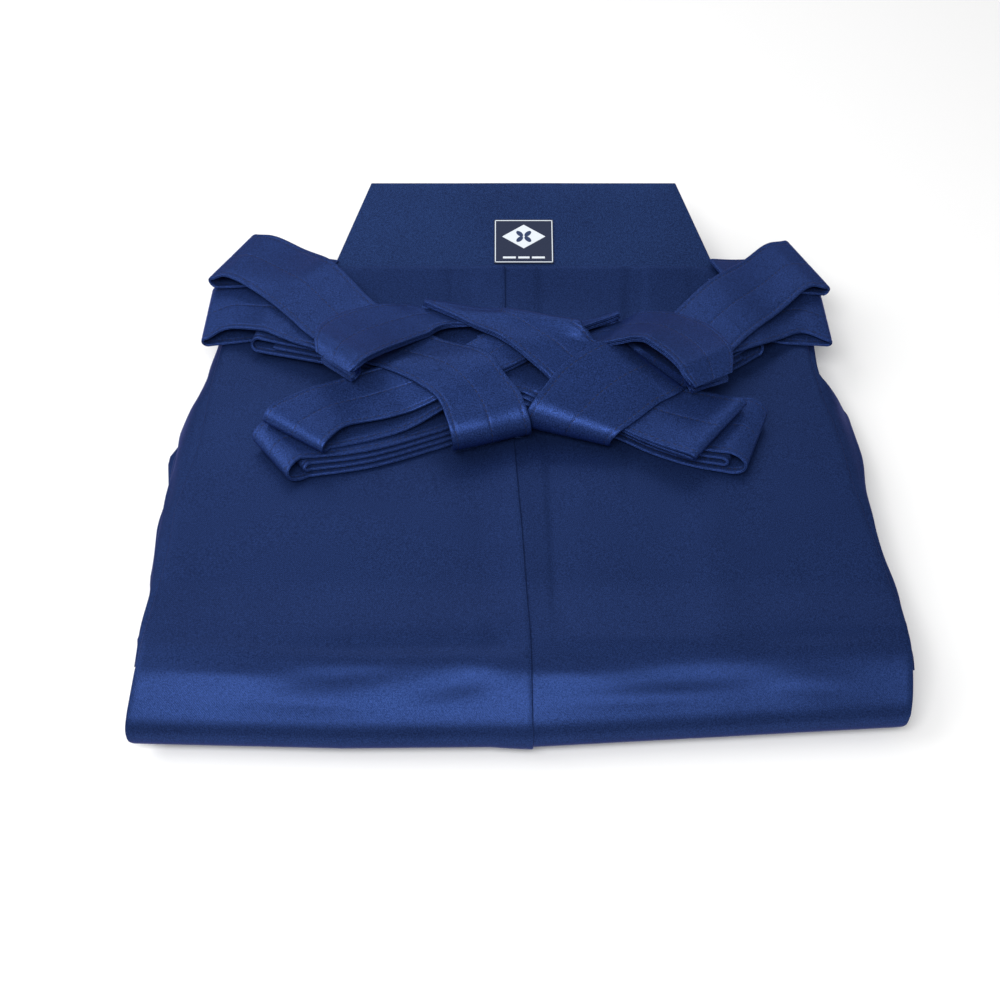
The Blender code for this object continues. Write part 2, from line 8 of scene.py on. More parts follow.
import bpy
import numpy as np
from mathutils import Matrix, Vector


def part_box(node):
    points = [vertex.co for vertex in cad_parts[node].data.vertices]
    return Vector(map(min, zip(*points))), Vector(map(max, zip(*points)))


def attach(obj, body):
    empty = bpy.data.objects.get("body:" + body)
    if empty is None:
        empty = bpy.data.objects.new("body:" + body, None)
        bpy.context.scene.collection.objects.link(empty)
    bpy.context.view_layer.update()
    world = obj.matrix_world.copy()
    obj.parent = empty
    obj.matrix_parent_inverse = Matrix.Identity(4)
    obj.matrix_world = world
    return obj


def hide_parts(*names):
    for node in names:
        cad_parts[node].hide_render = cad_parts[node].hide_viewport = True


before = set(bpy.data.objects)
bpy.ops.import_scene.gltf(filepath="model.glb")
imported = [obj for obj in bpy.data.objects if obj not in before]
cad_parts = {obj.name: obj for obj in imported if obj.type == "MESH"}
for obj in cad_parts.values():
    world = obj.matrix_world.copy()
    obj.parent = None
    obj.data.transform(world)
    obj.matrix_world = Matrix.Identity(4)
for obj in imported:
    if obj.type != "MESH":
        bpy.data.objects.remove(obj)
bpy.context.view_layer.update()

# ------------------------------------------------------------------ studio
# A pale floor that runs out of sight, a broad soft light from the left, a weak one from behind and
# one in front that glides over the near roll, and the camera, which looks down from the near side.

MM = 0.001
FLOOR_REACH = 6.0       # metres from the middle to each edge of the floor
CAMERA_PLACE = (-10.6, -594.8, 728.3)   # mm
CAMERA_TILT = 38.0      # degrees from straight down
CAMERA_LENS = 57.6      # mm, on a 36 mm sensor


def linear(hex_colour):
    """An sRGB colour such as "22335f" as linear red, green, blue and alpha 1: each channel is
    (c + 0.055) / 1.055 to the power 2.4, or c / 12.92 where it is very dark."""
    srgb = np.array([int(hex_colour[k:k + 2], 16) for k in (0, 2, 4)]) / 255
    return (*np.where(srgb > 0.04045, ((srgb + 0.055) / 1.055) ** 2.4, srgb / 12.92), 1.0)


def add(tree, kind, settings=(), **links):
    """Adds a node. Settings are pairs of attribute or input name and value, or of an input's
    number: a mix node's factor is 0 and its two colours are 6 and 7. Each link is an input name,
    with spaces as underscores, and the output that feeds it."""
    node = tree.nodes.new(kind)
    for key, value in settings:
        if isinstance(key, str) and hasattr(node, key):
            setattr(node, key, value)
        else:
            node.inputs[key].default_value = value
    for key, output in links.items():
        tree.links.new(output, node.inputs[key.replace("_", " ")])
    return node


def matt(name, colour, roughness=0.8, specular=0.5):
    """A matt finish of one colour, such as paint or thread, which only scatters the light."""
    made = bpy.data.materials.new(name)
    made.use_nodes = True
    shader = made.node_tree.nodes["Principled BSDF"]
    shader.inputs["Base Color"].default_value = linear(colour)
    shader.inputs["Roughness"].default_value = roughness
    shader.inputs["Specular IOR Level"].default_value = specular
    return made


def plain_floor():
    """A matt pale floor: one large flat sheet."""
    mesh = bpy.data.meshes.new("studio_floor")
    far = FLOOR_REACH
    mesh.from_pydata([(-far, -far, 0), (far, -far, 0), (far, far, 0), (-far, far, 0)], [],
                     [(0, 1, 2, 3)])
    floor = bpy.data.objects.new("studio_floor", mesh)
    bpy.context.scene.collection.objects.link(floor)
    mesh.materials.append(matt("matt_floor_paint", "fcfcfc", 0.9, 0.1))


def softbox(name, place, aim, width, depth, power):
    """A rectangular soft light at a place, turned to face a point."""
    lamp = bpy.data.lights.new(name, "AREA")
    lamp.shape = "RECTANGLE"
    lamp.size, lamp.size_y, lamp.energy = width, depth, power
    light = bpy.data.objects.new(name, lamp)
    bpy.context.scene.collection.objects.link(light)
    light.location = place
    away = light.location - type(light.location)(aim)
    light.rotation_euler = away.to_track_quat("Z", "Y").to_euler()


plain_floor()
softbox("softbox_left", (-1.15, 0.25, 1.15), (0, 0, 0), width=1.2, depth=1.2, power=11)
softbox("softbox_back", (-0.1, 1.15, 1.0), (0, 0, 0), width=1.1, depth=0.6, power=3)
softbox("softbox_front", (-0.2, -0.85, 1.5), (0, -0.1, 0), width=1.3, depth=0.6, power=21)
world = bpy.data.worlds.new("studio_air")
world.use_nodes = True
world.node_tree.nodes["Background"].inputs["Color"].default_value = linear("ffffff")
world.node_tree.nodes["Background"].inputs["Strength"].default_value = 0.34
bpy.context.scene.world = world
bpy.context.scene.view_settings.view_transform = "Standard"

camera_data = bpy.data.cameras.new("studio_camera")
camera_data.lens = CAMERA_LENS
camera_data.sensor_width = 36.0
camera = bpy.data.objects.new("studio_camera", camera_data)
bpy.context.scene.collection.objects.link(camera)
camera.location = [along * MM for along in CAMERA_PLACE]
camera.rotation_euler = (math.radians(CAMERA_TILT), 0, 0)
bpy.context.scene.camera = camera


# ------------------------------------------------------------------ folded legs
# Both legs, with their gusset, side widths and hems, folded in three under the front. They are
# polyester and rayon twill, woven satin side out, and only their folded edges show at the sides.

BOARD_FOOT_Y = 148.0
BOARD_HEIGHT = 77.0
BOARD_TILT = 0.20
LABEL_X = 4.7
board_run = math.cos(math.atan(BOARD_TILT))
label_low, label_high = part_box("label")
plan_middle = np.array((
    LABEL_X - (label_low.x + label_high.x) / 2 / MM,
    BOARD_FOOT_Y + BOARD_HEIGHT * board_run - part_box("back_board")[1].y / MM,
    0.0,
))


def satin_twill(name, cloth, grain, thread_mm=0.9, roughness=0.42, bump=0.4, stretch=0.3):
    """Satin-faced polyester and rayon twill. The smooth floats reflect in the cloth's own blue,
    which a partly metallic finish gives, and stretch the reflection across the cloth, along the
    first direction of its grain. The wale is bands at 45 degrees, a thread's width apart, drawn
    coarser than the real 0.4 mm so that it shows; the slubs are noise as fine as the threads, and
    a broad cloud of noise keeps the dye a little uneven."""
    made = bpy.data.materials.new(name)
    made.use_nodes = True
    tree = made.node_tree
    shader = tree.nodes["Principled BSDF"]
    place = add(tree, "ShaderNodeTexCoord")
    wale = add(tree, "ShaderNodeTexWave", (
        ("wave_type", "BANDS"), ("bands_direction", "DIAGONAL"), ("Scale", 0.44 / (thread_mm * MM)),
        ("Distortion", 1.6), ("Detail", 2.0), ("Detail Scale", 3.0)), Vector=place.outputs["UV"])
    slub = add(tree, "ShaderNodeTexNoise", (("Scale", 1.2 / (thread_mm * MM)), ("Detail", 2.0),
                                            ("Roughness", 0.7)), Vector=place.outputs["Object"])
    cloud = add(tree, "ShaderNodeTexNoise", (("Scale", 16.0), ("Detail", 2.0)),
                Vector=place.outputs["Object"])
    mottle = add(tree, "ShaderNodeMix", (("data_type", "FLOAT"), (0, 0.12)))
    tree.links.new(slub.outputs["Fac"], mottle.inputs["A"])
    tree.links.new(cloud.outputs["Fac"], mottle.inputs["B"])
    spread = add(tree, "ShaderNodeMapRange", (("From Min", 0.38), ("From Max", 0.64)),
                 Value=mottle.outputs["Result"])
    tone = add(tree, "ShaderNodeMix", (("data_type", "RGBA"), (6, linear(cloth)),
                                       (7, linear(grain))))
    tree.links.new(spread.outputs["Result"], tone.inputs[0])
    tree.links.new(tone.outputs[2], shader.inputs["Base Color"])
    weave = add(tree, "ShaderNodeMix", (("data_type", "FLOAT"), (0, 0.6)))
    tree.links.new(wale.outputs["Fac"], weave.inputs["A"])
    tree.links.new(slub.outputs["Fac"], weave.inputs["B"])
    relief = add(tree, "ShaderNodeBump", (("Strength", bump), ("Distance", 0.15 * MM)),
                 Height=weave.outputs["Result"])
    tree.links.new(relief.outputs["Normal"], shader.inputs["Normal"])
    floats = add(tree, "ShaderNodeTangent", (("direction_type", "UV_MAP"),
                                             ("uv_map", "cloth_grain")))
    tree.links.new(floats.outputs["Tangent"], shader.inputs["Tangent"])
    shader.inputs["Anisotropic"].default_value = stretch
    shader.inputs["Metallic"].default_value = 0.55
    shader.inputs["Roughness"].default_value = roughness
    shader.inputs["Specular IOR Level"].default_value = 0.25
    shader.inputs["Specular Tint"].default_value = linear("7f9be6")
    return made


def read_table(table, value):
    """Straight-line reading of a table of key and value."""
    keys, values = np.array(sorted(table), float).T
    return np.interp(value, keys, values)


def edge_line(edges, y, side):
    """x of the left or right outline at y, from a table of y, left edge, right edge."""
    keys, left, right = np.array(sorted(edges), float).T
    return np.interp(y, keys, left if side == "left" else right)


def rim(rows, columns):
    """Indices round the border of a grid, in order."""
    index = np.arange(rows * columns).reshape(rows, columns)
    return np.concatenate([index[0, :-1], index[:-1, -1], index[-1, :0:-1], index[:0:-1, 0]])


def grid_quads(rows, columns, start=0):
    """Four corners of each cell of a grid of points."""
    index = np.arange(rows * columns).reshape(rows, columns) + start
    corners = [index[:-1, :-1], index[1:, :-1], index[1:, 1:], index[:-1, 1:]]
    return np.stack(corners, -1).reshape(-1, 4)


def outward(points, quads):
    """The same quads, turned round where the closed shape they make is inside out: its volume,
    the sum of corner times the cross product of the next two over each triangle, is negative."""
    a, b, c, d = (points[quads[:, k]] for k in range(4))
    volume = (a * np.cross(b, c)).sum() + (a * np.cross(c, d)).sum()
    return quads if volume > 0 else quads[:, ::-1]


def closed_solid(lower, upper, loops):
    """Points and quads of the solid between two grids of points: the two grids' own cells, and a
    band of quads from each ring round the side to the next, the loops given being rings too."""
    rows, columns = lower.shape[:2]
    size = rows * columns
    border = rim(rows, columns)
    points = np.vstack([lower.reshape(-1, 3), upper.reshape(-1, 3)] + list(loops))
    rings = [border]
    rings += [2 * size + k * len(border) + np.arange(len(border)) for k in range(len(loops))]
    rings += [border + size]
    faces = [grid_quads(rows, columns), grid_quads(rows, columns, size)[:, ::-1]]
    for low, high in zip(rings[:-1], rings[1:]):
        faces.append(np.stack([low, np.roll(low, -1), np.roll(high, -1), high], -1))
    return points, outward(points, np.vstack(faces))


def join(solids):
    """Several sets of points and quads as one."""
    counts = np.cumsum([0] + [len(points) for points, _ in solids[:-1]])
    return (np.vstack([points for points, _ in solids]),
            np.vstack([quads + start for (_, quads), start in zip(solids, counts)]))


def make_piece(name, points, faces, material, nodes=(), slot=None, uv=None, sharp=0.9):
    """A shown piece from points in millimetres on the plan and its faces: it rides on the one
    body, stands in for the frame's nodes named, and is smooth but for its sharp edges."""
    mesh = bpy.data.meshes.new(name)
    placed = (points - plan_middle) * MM
    mesh.from_pydata(placed.tolist(), [], faces if isinstance(faces, list) else faces.tolist())
    if uv is not None:
        corners = np.zeros(len(mesh.loops), np.int32)
        mesh.loops.foreach_get("vertex_index", corners)
        layer = mesh.uv_layers.new(name="cloth_grain")
        layer.data.foreach_set("uv", (uv[corners] * MM).astype(np.float32).ravel())
    mesh.materials.append(material)
    mesh.shade_smooth()
    mesh.set_sharp_from_angle(angle=sharp)
    piece = bpy.data.objects.new(name, mesh)
    bpy.context.scene.collection.objects.link(piece)
    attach(piece, "root")
    if nodes:
        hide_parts(*nodes)
    return piece


class Pile:
    """Height of the cloth laid so far, on a plan grid of one-millimetre cells whose first is at
    WEST and SOUTH. The two reaches are how many cells a bend and a bridge are worked out over."""
    WEST, SOUTH, COLUMNS, ROWS = -240, -200, 480, 460
    BEND_REACH, BRIDGE_REACH = 14, 45

    def __init__(self):
        self.top = np.zeros((self.COLUMNS, self.ROWS))

    def add(self, points, quads):
        """Raises the pile to the top of a solid, sampled closer than one cell. Each triangle is
        sampled at weights i, j, k over n, where n grows with its longest side."""
        corners = points[np.vstack([quads[:, [0, 1, 2]], quads[:, [0, 2, 3]]])]
        sides = np.linalg.norm(corners - np.roll(corners, 1, axis=1), axis=2).max(axis=1)
        start = 0.0
        for end in (2.0, 5.0, 12.0, 30.0, 90.0, 500.0):
            chosen = corners[(sides >= start) & (sides < end)]
            start = end
            if len(chosen):
                n = int(end * 1.2) + 1
                i, j = np.meshgrid(np.arange(n + 1), np.arange(n + 1))
                i, j = i[i + j <= n], j[i + j <= n]
                weights = np.stack([n - i - j, i, j], -1) / n
                spots = np.einsum("sk,tkc->tsc", weights, chosen).reshape(-1, 3)
                x = np.rint(spots[:, 0] - self.WEST).astype(int)
                y = np.rint(spots[:, 1] - self.SOUTH).astype(int)
                np.maximum.at(self.top, (x, y), spots[:, 2])

    @staticmethod
    def over(height, radius, reach):
        """Height dilated by a parabola that falls as distance squared over twice the radius."""
        for axis in (0, 1):
            best = height
            for k in range(1, reach + 1):
                beside = np.maximum(np.roll(height, k, axis), np.roll(height, -k, axis))
                best = np.maximum(best, beside - k * k / (2 * radius))
            height = best
        return height

    def resting(self, wall, bend, bridge):
        """Middle surface of a wall that rests on the pile. The pile is first dilated by a ball of
        half the wall, then its edges are rounded to the radius bend, and its hollows are bridged
        with the radius bridge, by a dilation with that parabola and the reverse of it."""
        clear = wall / 2 + 0.25
        height = self.top
        reach = int(clear) + 1
        for i in range(-reach, reach + 1):
            for j in range(-reach, reach + 1):
                inside = clear ** 2 - i * i - j * j
                lift = math.sqrt(inside) if inside > 0 else 0.0
                if inside > 0 or (i, j) == (0, 0):
                    height = np.maximum(height, np.roll(self.top, (i, j), (0, 1)) + lift)
        height = self.over(height, bend, self.BEND_REACH)
        height = self.over(height, bridge, self.BRIDGE_REACH)
        return -self.over(-height, bridge, self.BRIDGE_REACH)

    def read(self, height, grid):
        """Height at the x and y of a grid of points, between the four nearest cells."""
        x = np.clip(grid[..., 0] - self.WEST, 1, self.COLUMNS - 2.01)
        y = np.clip(grid[..., 1] - self.SOUTH, 1, self.ROWS - 2.01)
        i, j = x.astype(int), y.astype(int)
        u, v = x - i, y - j
        return ((1 - u) * (1 - v) * height[i, j] + u * (1 - v) * height[i + 1, j]
                + (1 - u) * v * height[i, j + 1] + u * v * height[i + 1, j + 1])


pile = Pile()
FAR_EDGE = 158.0        # y of the front's top edge
STACK_TOP = ((-125, 31.0), (0, 29.5), (160, 25.0))   # y, height
NEAR_FOLD = ((-205, -157), (-90, -160), (10, -159), (205, -147))   # x, y where the fold turns
ROLL_LENGTH = 44.0      # the top starts to round off this far from the near fold
ROLL_HEIGHT = 13.0      # height at which the near fold reaches furthest
UNDER_TURN = 12.0       # how far the front turns back under the fold
FOLD_FOOT = 2.0         # the front's lowest line
STACK_UNDER_TURN = 34.0     # how far the layers inside it draw back to their foot
# The near fold's form: length along the cloth and tilt of the cloth there, in degrees.
ROLL_TILT = ((0, 0), (12, 2), (19, 18), (27, 29), (41, 33), (48, 60), (54, 90))

# Outlines of the folded layers from the floor up: share of the height where each lies, then y,
# left edge, right edge. Between two of them the layers' edges follow by straight-line reading.
LEG_OUTLINES = (
    (0.12, (
        (170, -172, 172), (95, -178, 181), (78, -183, 189), (66, -190, 194), (52, -196, 193),
        (40, -198, 199), (28, -206, 201), (6, -204, 202), (-18, -206, 202), (-56, -205, 203),
        (-78, -200, 204), (-99, -206, 206), (-118, -202, 206), (-140, -204, 206), (-168, -201, 205),
    )),
    (0.36, (
        (170, -172, 172), (90, -178, 181), (76, -185, 188), (66, -189, 194), (50, -195, 192),
        (38, -199, 195), (0, -200, 198), (-50, -202, 199), (-110, -203, 205), (-168, -199, 203),
    )),
    (0.61, (
        (170, -172, 172), (80, -181, 181), (62, -187, 187), (48, -191, 189), (0, -196, 193),
        (-60, -198, 196), (-110, -199, 202), (-168, -199, 202),
    )),
    (0.90, (
        (170, -172, 172), (70, -180, 180), (50, -186, 184), (0, -190, 190), (-60, -194, 195),
        (-110, -196, 200), (-168, -196, 201),
    )),
)
LEG_LAYERS = 8
LEG_ROWS, LEG_COLUMNS = 64, 26
ROLL_ROWS = 14          # of those rows, the ones round the near fold
LAYER_FILL = 0.9        # share of a layer's pitch that its cloth fills
LAYER_ROUND = 2.0       # reach of the half round along a layer's side
LAYER_INSET = 1.2       # the layers' mean edge lies this far inside the outline
BELOW_SKIN = 0.4        # the top layer lies this far under the body's skin


def roll_form(part):
    """How far the near fold has run out and how far it has dropped at a part, 0 to 1, of its
    length, each as a share of the whole: the sums of the cosine and the sine of its tilt."""
    length = np.linspace(0, ROLL_TILT[-1][0], 400)
    tilt = np.radians(read_table(ROLL_TILT, length))
    run, drop = np.cumsum(np.cos(tilt)), np.cumsum(np.sin(tilt))
    at = np.clip(part, 0, 1) * length[-1]
    return (np.interp(at, length, (run - run[0]) / (run[-1] - run[0])),
            np.interp(at, length, (drop - drop[0]) / (drop[-1] - drop[0])))


def body_point(x, share, outset):
    """Point of the body's skin at x. Share 0 to 1 runs over the flat top from the far edge, 1 to
    2 down the near fold, 2 to 3 under it in a quarter ellipse. Outset moves the point outwards."""
    near = read_table(NEAR_FOLD, x)
    flat_end = near + ROLL_LENGTH
    y_flat = FAR_EDGE + (flat_end - FAR_EDGE) * np.clip(share, 0, 1)
    top = read_table(STACK_TOP, flat_end)
    run, drop = roll_form(share - 1)
    lower = np.clip(share - 2, 0, 1) * np.pi / 2
    y = np.where(share <= 1, y_flat, flat_end - (ROLL_LENGTH + outset) * run)
    z = np.where(share <= 1, read_table(STACK_TOP, y_flat) + outset,
                 ROLL_HEIGHT + (top - ROLL_HEIGHT + outset) * (1 - drop))
    y = np.where(share > 2, near + UNDER_TURN - (UNDER_TURN + outset) * np.cos(lower), y)
    z = np.where(share > 2, ROLL_HEIGHT - (ROLL_HEIGHT - FOLD_FOOT) * np.sin(lower), z)
    return np.stack([x, y, z], -1)


def leg_level(layer, share_up, inset):
    """A level of one folded layer: a grid from far edge to near fold at a share of the height.
    Its side edges waver by a sum of two sines whose phase depends on the layer, and its two ends
    by another. Round the fold it draws back to the foot along a quarter circle."""
    share = np.concatenate([np.linspace(0, 1, LEG_ROWS - ROLL_ROWS),
                            np.linspace(1, 2, ROLL_ROWS + 1)[1:]])
    y = body_point(np.zeros(LEG_ROWS), share, 0.0)[:, 1]
    keys = np.array([outline[0] for outline in LEG_OUTLINES])
    middle = np.clip((layer + 0.5) / LEG_LAYERS, keys[0], keys[-1])
    below = min(np.searchsorted(keys, middle, "right") - 1, len(keys) - 2)
    blend = (middle - keys[below]) / (keys[below + 1] - keys[below])
    sides = []
    for side, sign in (("left", 1), ("right", -1)):
        low, high = (edge_line(LEG_OUTLINES[below + k][1], y, side) for k in (0, 1))
        waver = 0.9 * np.sin(y / 23 + 2.1 * layer + sign) + 0.6 * np.sin(y / 9.5 + 1.3 * layer)
        sides.append(low + (high - low) * blend + sign * (inset + LAYER_INSET + waver))
    x = sides[0][:, None] + (sides[1] - sides[0])[:, None] * np.linspace(0, 1, LEG_COLUMNS)
    level = body_point(x, np.repeat(share[:, None], LEG_COLUMNS, 1), -BELOW_SKIN)
    turn = STACK_UNDER_TURN * (1 - np.sqrt(share_up * (2 - share_up)))
    waver = 0.8 * np.sin(x / 31 + 1.7 * layer) + 0.8 * np.sin(1.9 * layer)
    end = inset + 1.0 + waver
    level[..., 1] += (turn + end) * np.clip(share - 1, 0, 1)[:, None]
    level[..., 1] -= (end + 1.0) * np.clip(1 - 8 * share, 0, 1)[:, None]
    level[..., 2] *= share_up
    return level


def folded_legs():
    """The folded layers from the floor up, each a flat pad whose side is a half round of five
    loops: height and inset follow the sine and the cosine of the angle round it."""
    border = rim(LEG_ROWS, LEG_COLUMNS)
    layers = []
    for layer in range(LEG_LAYERS):
        low, high = layer / LEG_LAYERS, (layer + LAYER_FILL) / LEG_LAYERS
        loops = []
        for angle in np.radians((-62, -30, 0, 30, 62)):
            share_up = (low + high) / 2 + (high - low) / 2 * math.sin(angle)
            inset = LAYER_ROUND * (1 - math.cos(angle))
            loops.append(leg_level(layer, share_up, inset).reshape(-1, 3)[border])
        lower = leg_level(layer, low, LAYER_ROUND)
        upper = leg_level(layer, high, LAYER_ROUND)
        layers.append(closed_solid(lower, upper, loops))
    return layers


navy_twill = satin_twill("navy_satin_twill", "17254b", "263a6c", thread_mm=0.8)
leg_layers = folded_legs()
pile.add(*leg_layers[-1])
leg_points, leg_quads = join(leg_layers)
legs = make_piece("legs_folded_layers", leg_points, leg_quads, navy_twill, ["folded_legs"],
                  "navy_cloth", uv=leg_points[:, :2])


# ------------------------------------------------------------------ back panels
# The two back halves lie on the folded legs and show at the side slits and along the sides.
# One layer of the twill each, hemmed at the slit, and joined to the front only below the slit.

BACK_EDGES = (
    (168, -176, 174), (75, -182, 180), (60, -187, 188), (50, -191, 193), (34, -195, 194),
    (15, -195, 195), (-40, -196, 195), (-120, -197, 203),
)
# Line of the centre pleat, where the two halves meet: y, x.
PLEAT_LINE = ((160, -7.5), (120, -7.0), (20, -2.4), (-45, 1.8), (-115, 5.3), (-170, 6.5))
BACK_SPAN = (156, -128)     # y of the halves' two ends
PANEL_WALL = 1.1
HALF_GAP = 0.4          # each back half stops this far from the centre line


def unit(vectors):
    """The vectors scaled to length one."""
    return vectors / np.maximum(np.linalg.norm(vectors, axis=-1, keepdims=True), 1e-9)


def grid_normals(grid):
    """Unit normals of a grid of points: the cross product of the step over and the step along."""
    return unit(np.cross(np.gradient(grid, axis=1), np.gradient(grid, axis=0)))


def cloth_wall(middle, half, plies=1):
    """A closed wall, half a thickness to each side of a grid of middle points. Its side is a half
    round for each ply, with a slit between plies; each loop is a share of the height and a reach
    out along the cloth, square to the border, in thicknesses of one ply."""
    normal = grid_normals(middle)
    lower, upper = middle - normal * half, middle + normal * half
    border = rim(*middle.shape[:2])
    low, high = lower.reshape(-1, 3)[border], upper.reshape(-1, 3)[border]
    out = unit(np.cross(np.roll(low, -1, axis=0) - np.roll(low, 1, axis=0), high - low))
    if np.einsum("ij,ij->i", out, low - middle.reshape(-1, 3).mean(axis=0)).sum() < 0:
        out = -out
    thick = float(np.mean(half)) * 2 / plies
    loops = []
    for k in range(plies):
        for part, reach in ((0.12, 0.22), (0.5, 0.42), (0.88, 0.22), (1.0, -0.5)):
            if (k, part) != (plies - 1, 1.0):
                share = (k + part) / plies
                loops.append(low * (1 - share) + high * share + out * reach * thick)
    return closed_solid(lower, upper, loops)


def back_panel(side):
    """A back half: columns from the outline to the centre line, closer near the outline, laid on
    the legs. Its edge waves by a sum of two sines in y."""
    rows, columns = 90, 26
    y = np.linspace(*BACK_SPAN, rows)
    outer = edge_line(BACK_EDGES, y, side)
    inner = read_table(PLEAT_LINE, y)
    outer = outer + 0.8 * np.sin(y / 17) + 0.5 * np.sin(y / 7.3)
    share = np.linspace(0, 1, columns) ** 1.6
    x = outer[:, None] + (inner + HALF_GAP * np.sign(outer) - outer)[:, None] * share
    grid = np.stack([x, np.repeat(y[:, None], columns, 1), np.zeros_like(x)], -1)
    grid[..., 2] = pile.read(pile.resting(PANEL_WALL, bend=5, bridge=90), grid)
    return cloth_wall(grid, PANEL_WALL / 2)


for side in ("left", "right"):
    points, quads = back_panel(side)
    pile.add(points, quads)
    panel = make_piece("back_panel_" + side + "_cloth", points, quads, navy_twill,
                       ["back_panel_" + side], "navy_cloth", uv=points[:, :2])


# ------------------------------------------------------------------ back board
# The koshi-ita: a stiff trapezoid of board covered with the same twill, turned in and top
# stitched round its edge, with the rear straps sewn in at its foot.

BOARD = 4.6             # thickness of the covered board
BOARD_TOP_WIDTH = 193.0
BOARD_FOOT_WIDTH = 243.0
BOARD_MIDDLE = 4.8      # x of its middle
BOARD_REST = 29.0       # height of its underside at the foot


def board_half_width(v):
    """Half the board's width, v mm up from its foot: straight sides that draw in."""
    return (BOARD_FOOT_WIDTH + (BOARD_TOP_WIDTH - BOARD_FOOT_WIDTH) * v / BOARD_HEIGHT) / 2


def board_point(u, v, above):
    """Point on the board: u from -1 to 1 across, v in mm up from its foot, above its underside."""
    y = BOARD_FOOT_Y + v * board_run - above * BOARD_TILT * board_run
    z = BOARD_REST + v * board_run * BOARD_TILT + above * board_run
    return np.stack(np.broadcast_arrays(BOARD_MIDDLE + u * board_half_width(v), y, z), -1)


def back_board():
    """The covered board: two faces a little domed, by the product of two falling eighth powers,
    round a side of three loops that stand out by a half ellipse."""
    u = np.sin(np.linspace(-1, 1, 61) * np.pi / 2)[None, :]
    v = (BOARD_HEIGHT / 2 * (1 + np.sin(np.linspace(-1, 1, 31) * np.pi / 2)))[:, None]
    dome = (1 - u ** 8) * (1 - (2 * v / BOARD_HEIGHT - 1) ** 8)
    lower = board_point(u, v, 1.3 - 1.0 * dome)
    upper = board_point(u, v, BOARD - 1.1 + 1.0 * dome)
    border = rim(*lower.shape[:2])
    middle = board_point(0.0, np.array(BOARD_HEIGHT / 2), BOARD / 2)
    loops = []
    for share, out in ((0.2, 0.6), (0.5, 0.9), (0.8, 0.6)):
        loop = lower.reshape(-1, 3)[border] * (1 - share) + upper.reshape(-1, 3)[border] * share
        away = loop - middle
        away[:, 2] = 0
        loops.append(loop + out * unit(away))
    return closed_solid(lower, upper, loops)


board_points, board_quads = back_board()
pile.add(board_points, board_quads)
# Steamed flat over the board, the twill shines a little less. Its colour is painted light: a
# shade lighter than the same twill elsewhere, standing in for the light that the board catches.
board_twill_painted_light = satin_twill("navy_board_twill_painted_light", "1a284e", "2b4275", roughness=0.5)
make_piece("back_board_covered", board_points, board_quads, board_twill_painted_light, ["back_board"],
           "navy_cloth", uv=board_points[:, :2])


# ------------------------------------------------------------------ label
# A small woven label, machine sewn to the board's face, with a pale border. Its design is a
# plain one: a lozenge with a four-petalled flower above three bars.

LABEL_WIDTH = 37.0
LABEL_SPAN = (14.0, 47.0)   # mm up from the board's foot
LABEL_THREAD = 0.8          # how far the ground stands off the board
BORDER_INSET, BORDER_WIDTH = 0.5, 0.55
LOZENGE = (13.5, 9.0)       # half its width and height
LOZENGE_RAISE = 3.5         # its middle stands this far over the label's
PETAL = (2.7, 1.5)          # half its length and width
PETAL_OUT = (3.6, 2.9)      # the petals' middles lie on an ellipse of this size
BAR_SPANS = ((-13, -5), (-3.5, 3.5), (5, 13))
BAR_FOOT, BAR_TOP = 3.4, 4.8


def label_patch(shape, above, thick):
    """A flat shape on the label, from corner points across and up in mm, as a closed prism."""
    shape = np.asarray(shape, float)
    u = (shape[:, 0] + LABEL_X - BOARD_MIDDLE) / board_half_width(shape[:, 1])
    low = board_point(u, shape[:, 1], above)
    high = board_point(u, shape[:, 1], above + thick)
    n = len(shape)
    faces = [list(range(n))[::-1], list(range(n, 2 * n))]
    faces += [[k, (k + 1) % n, n + (k + 1) % n, n + k] for k in range(n)]
    return np.vstack([low, high]), faces


def woven_label():
    """Shapes of the design, as corners across and up in mm: four border strips, a lozenge and three
    bars for the pale thread, and four petals for the blue. The ground is made apart, and each shape
    later becomes a prism of its own."""
    left, right = -LABEL_WIDTH / 2, LABEL_WIDTH / 2
    low, high = LABEL_SPAN
    middle = (low + high) / 2 + LOZENGE_RAISE
    a, b = left + BORDER_INSET, right - BORDER_INSET
    c, d = low + BORDER_INSET, high - BORDER_INSET
    pale = [((a, c), (b, c), (b, c + BORDER_WIDTH), (a, c + BORDER_WIDTH)),
            ((a, d - BORDER_WIDTH), (b, d - BORDER_WIDTH), (b, d), (a, d)),
            ((a, c), (a + BORDER_WIDTH, c), (a + BORDER_WIDTH, d), (a, d)),
            ((b - BORDER_WIDTH, c), (b, c), (b, d), (b - BORDER_WIDTH, d))]
    wide, tall = LOZENGE
    pale.append(((-wide, middle), (0, middle - tall), (wide, middle), (0, middle + tall)))
    for x0, x1 in BAR_SPANS:
        pale.append(((x0, low + BAR_FOOT), (x1, low + BAR_FOOT),
                     (x1, low + BAR_TOP), (x0, low + BAR_TOP)))
    dark = []
    turn = np.radians(np.arange(0, 360, 30))
    for angle in np.radians((45, 135, 225, 315)):
        centre = np.array((math.cos(angle) * PETAL_OUT[0], math.sin(angle) * PETAL_OUT[1]))
        petal = np.stack([PETAL[0] * np.cos(turn), PETAL[1] * np.sin(turn)], -1)
        spin = np.array(((math.cos(angle), math.sin(angle)), (-math.sin(angle), math.cos(angle))))
        dark.append(petal @ spin + centre + (0, middle))
    return pale, dark


def make_prisms(name, prisms, material, **more):
    """Several prisms as one piece."""
    points, faces, start = [], [], 0
    for corners, sides in prisms:
        points.append(corners)
        faces += [[k + start for k in side] for side in sides]
        start += len(corners)
    return make_piece(name, np.vstack(points), faces, material, **more)


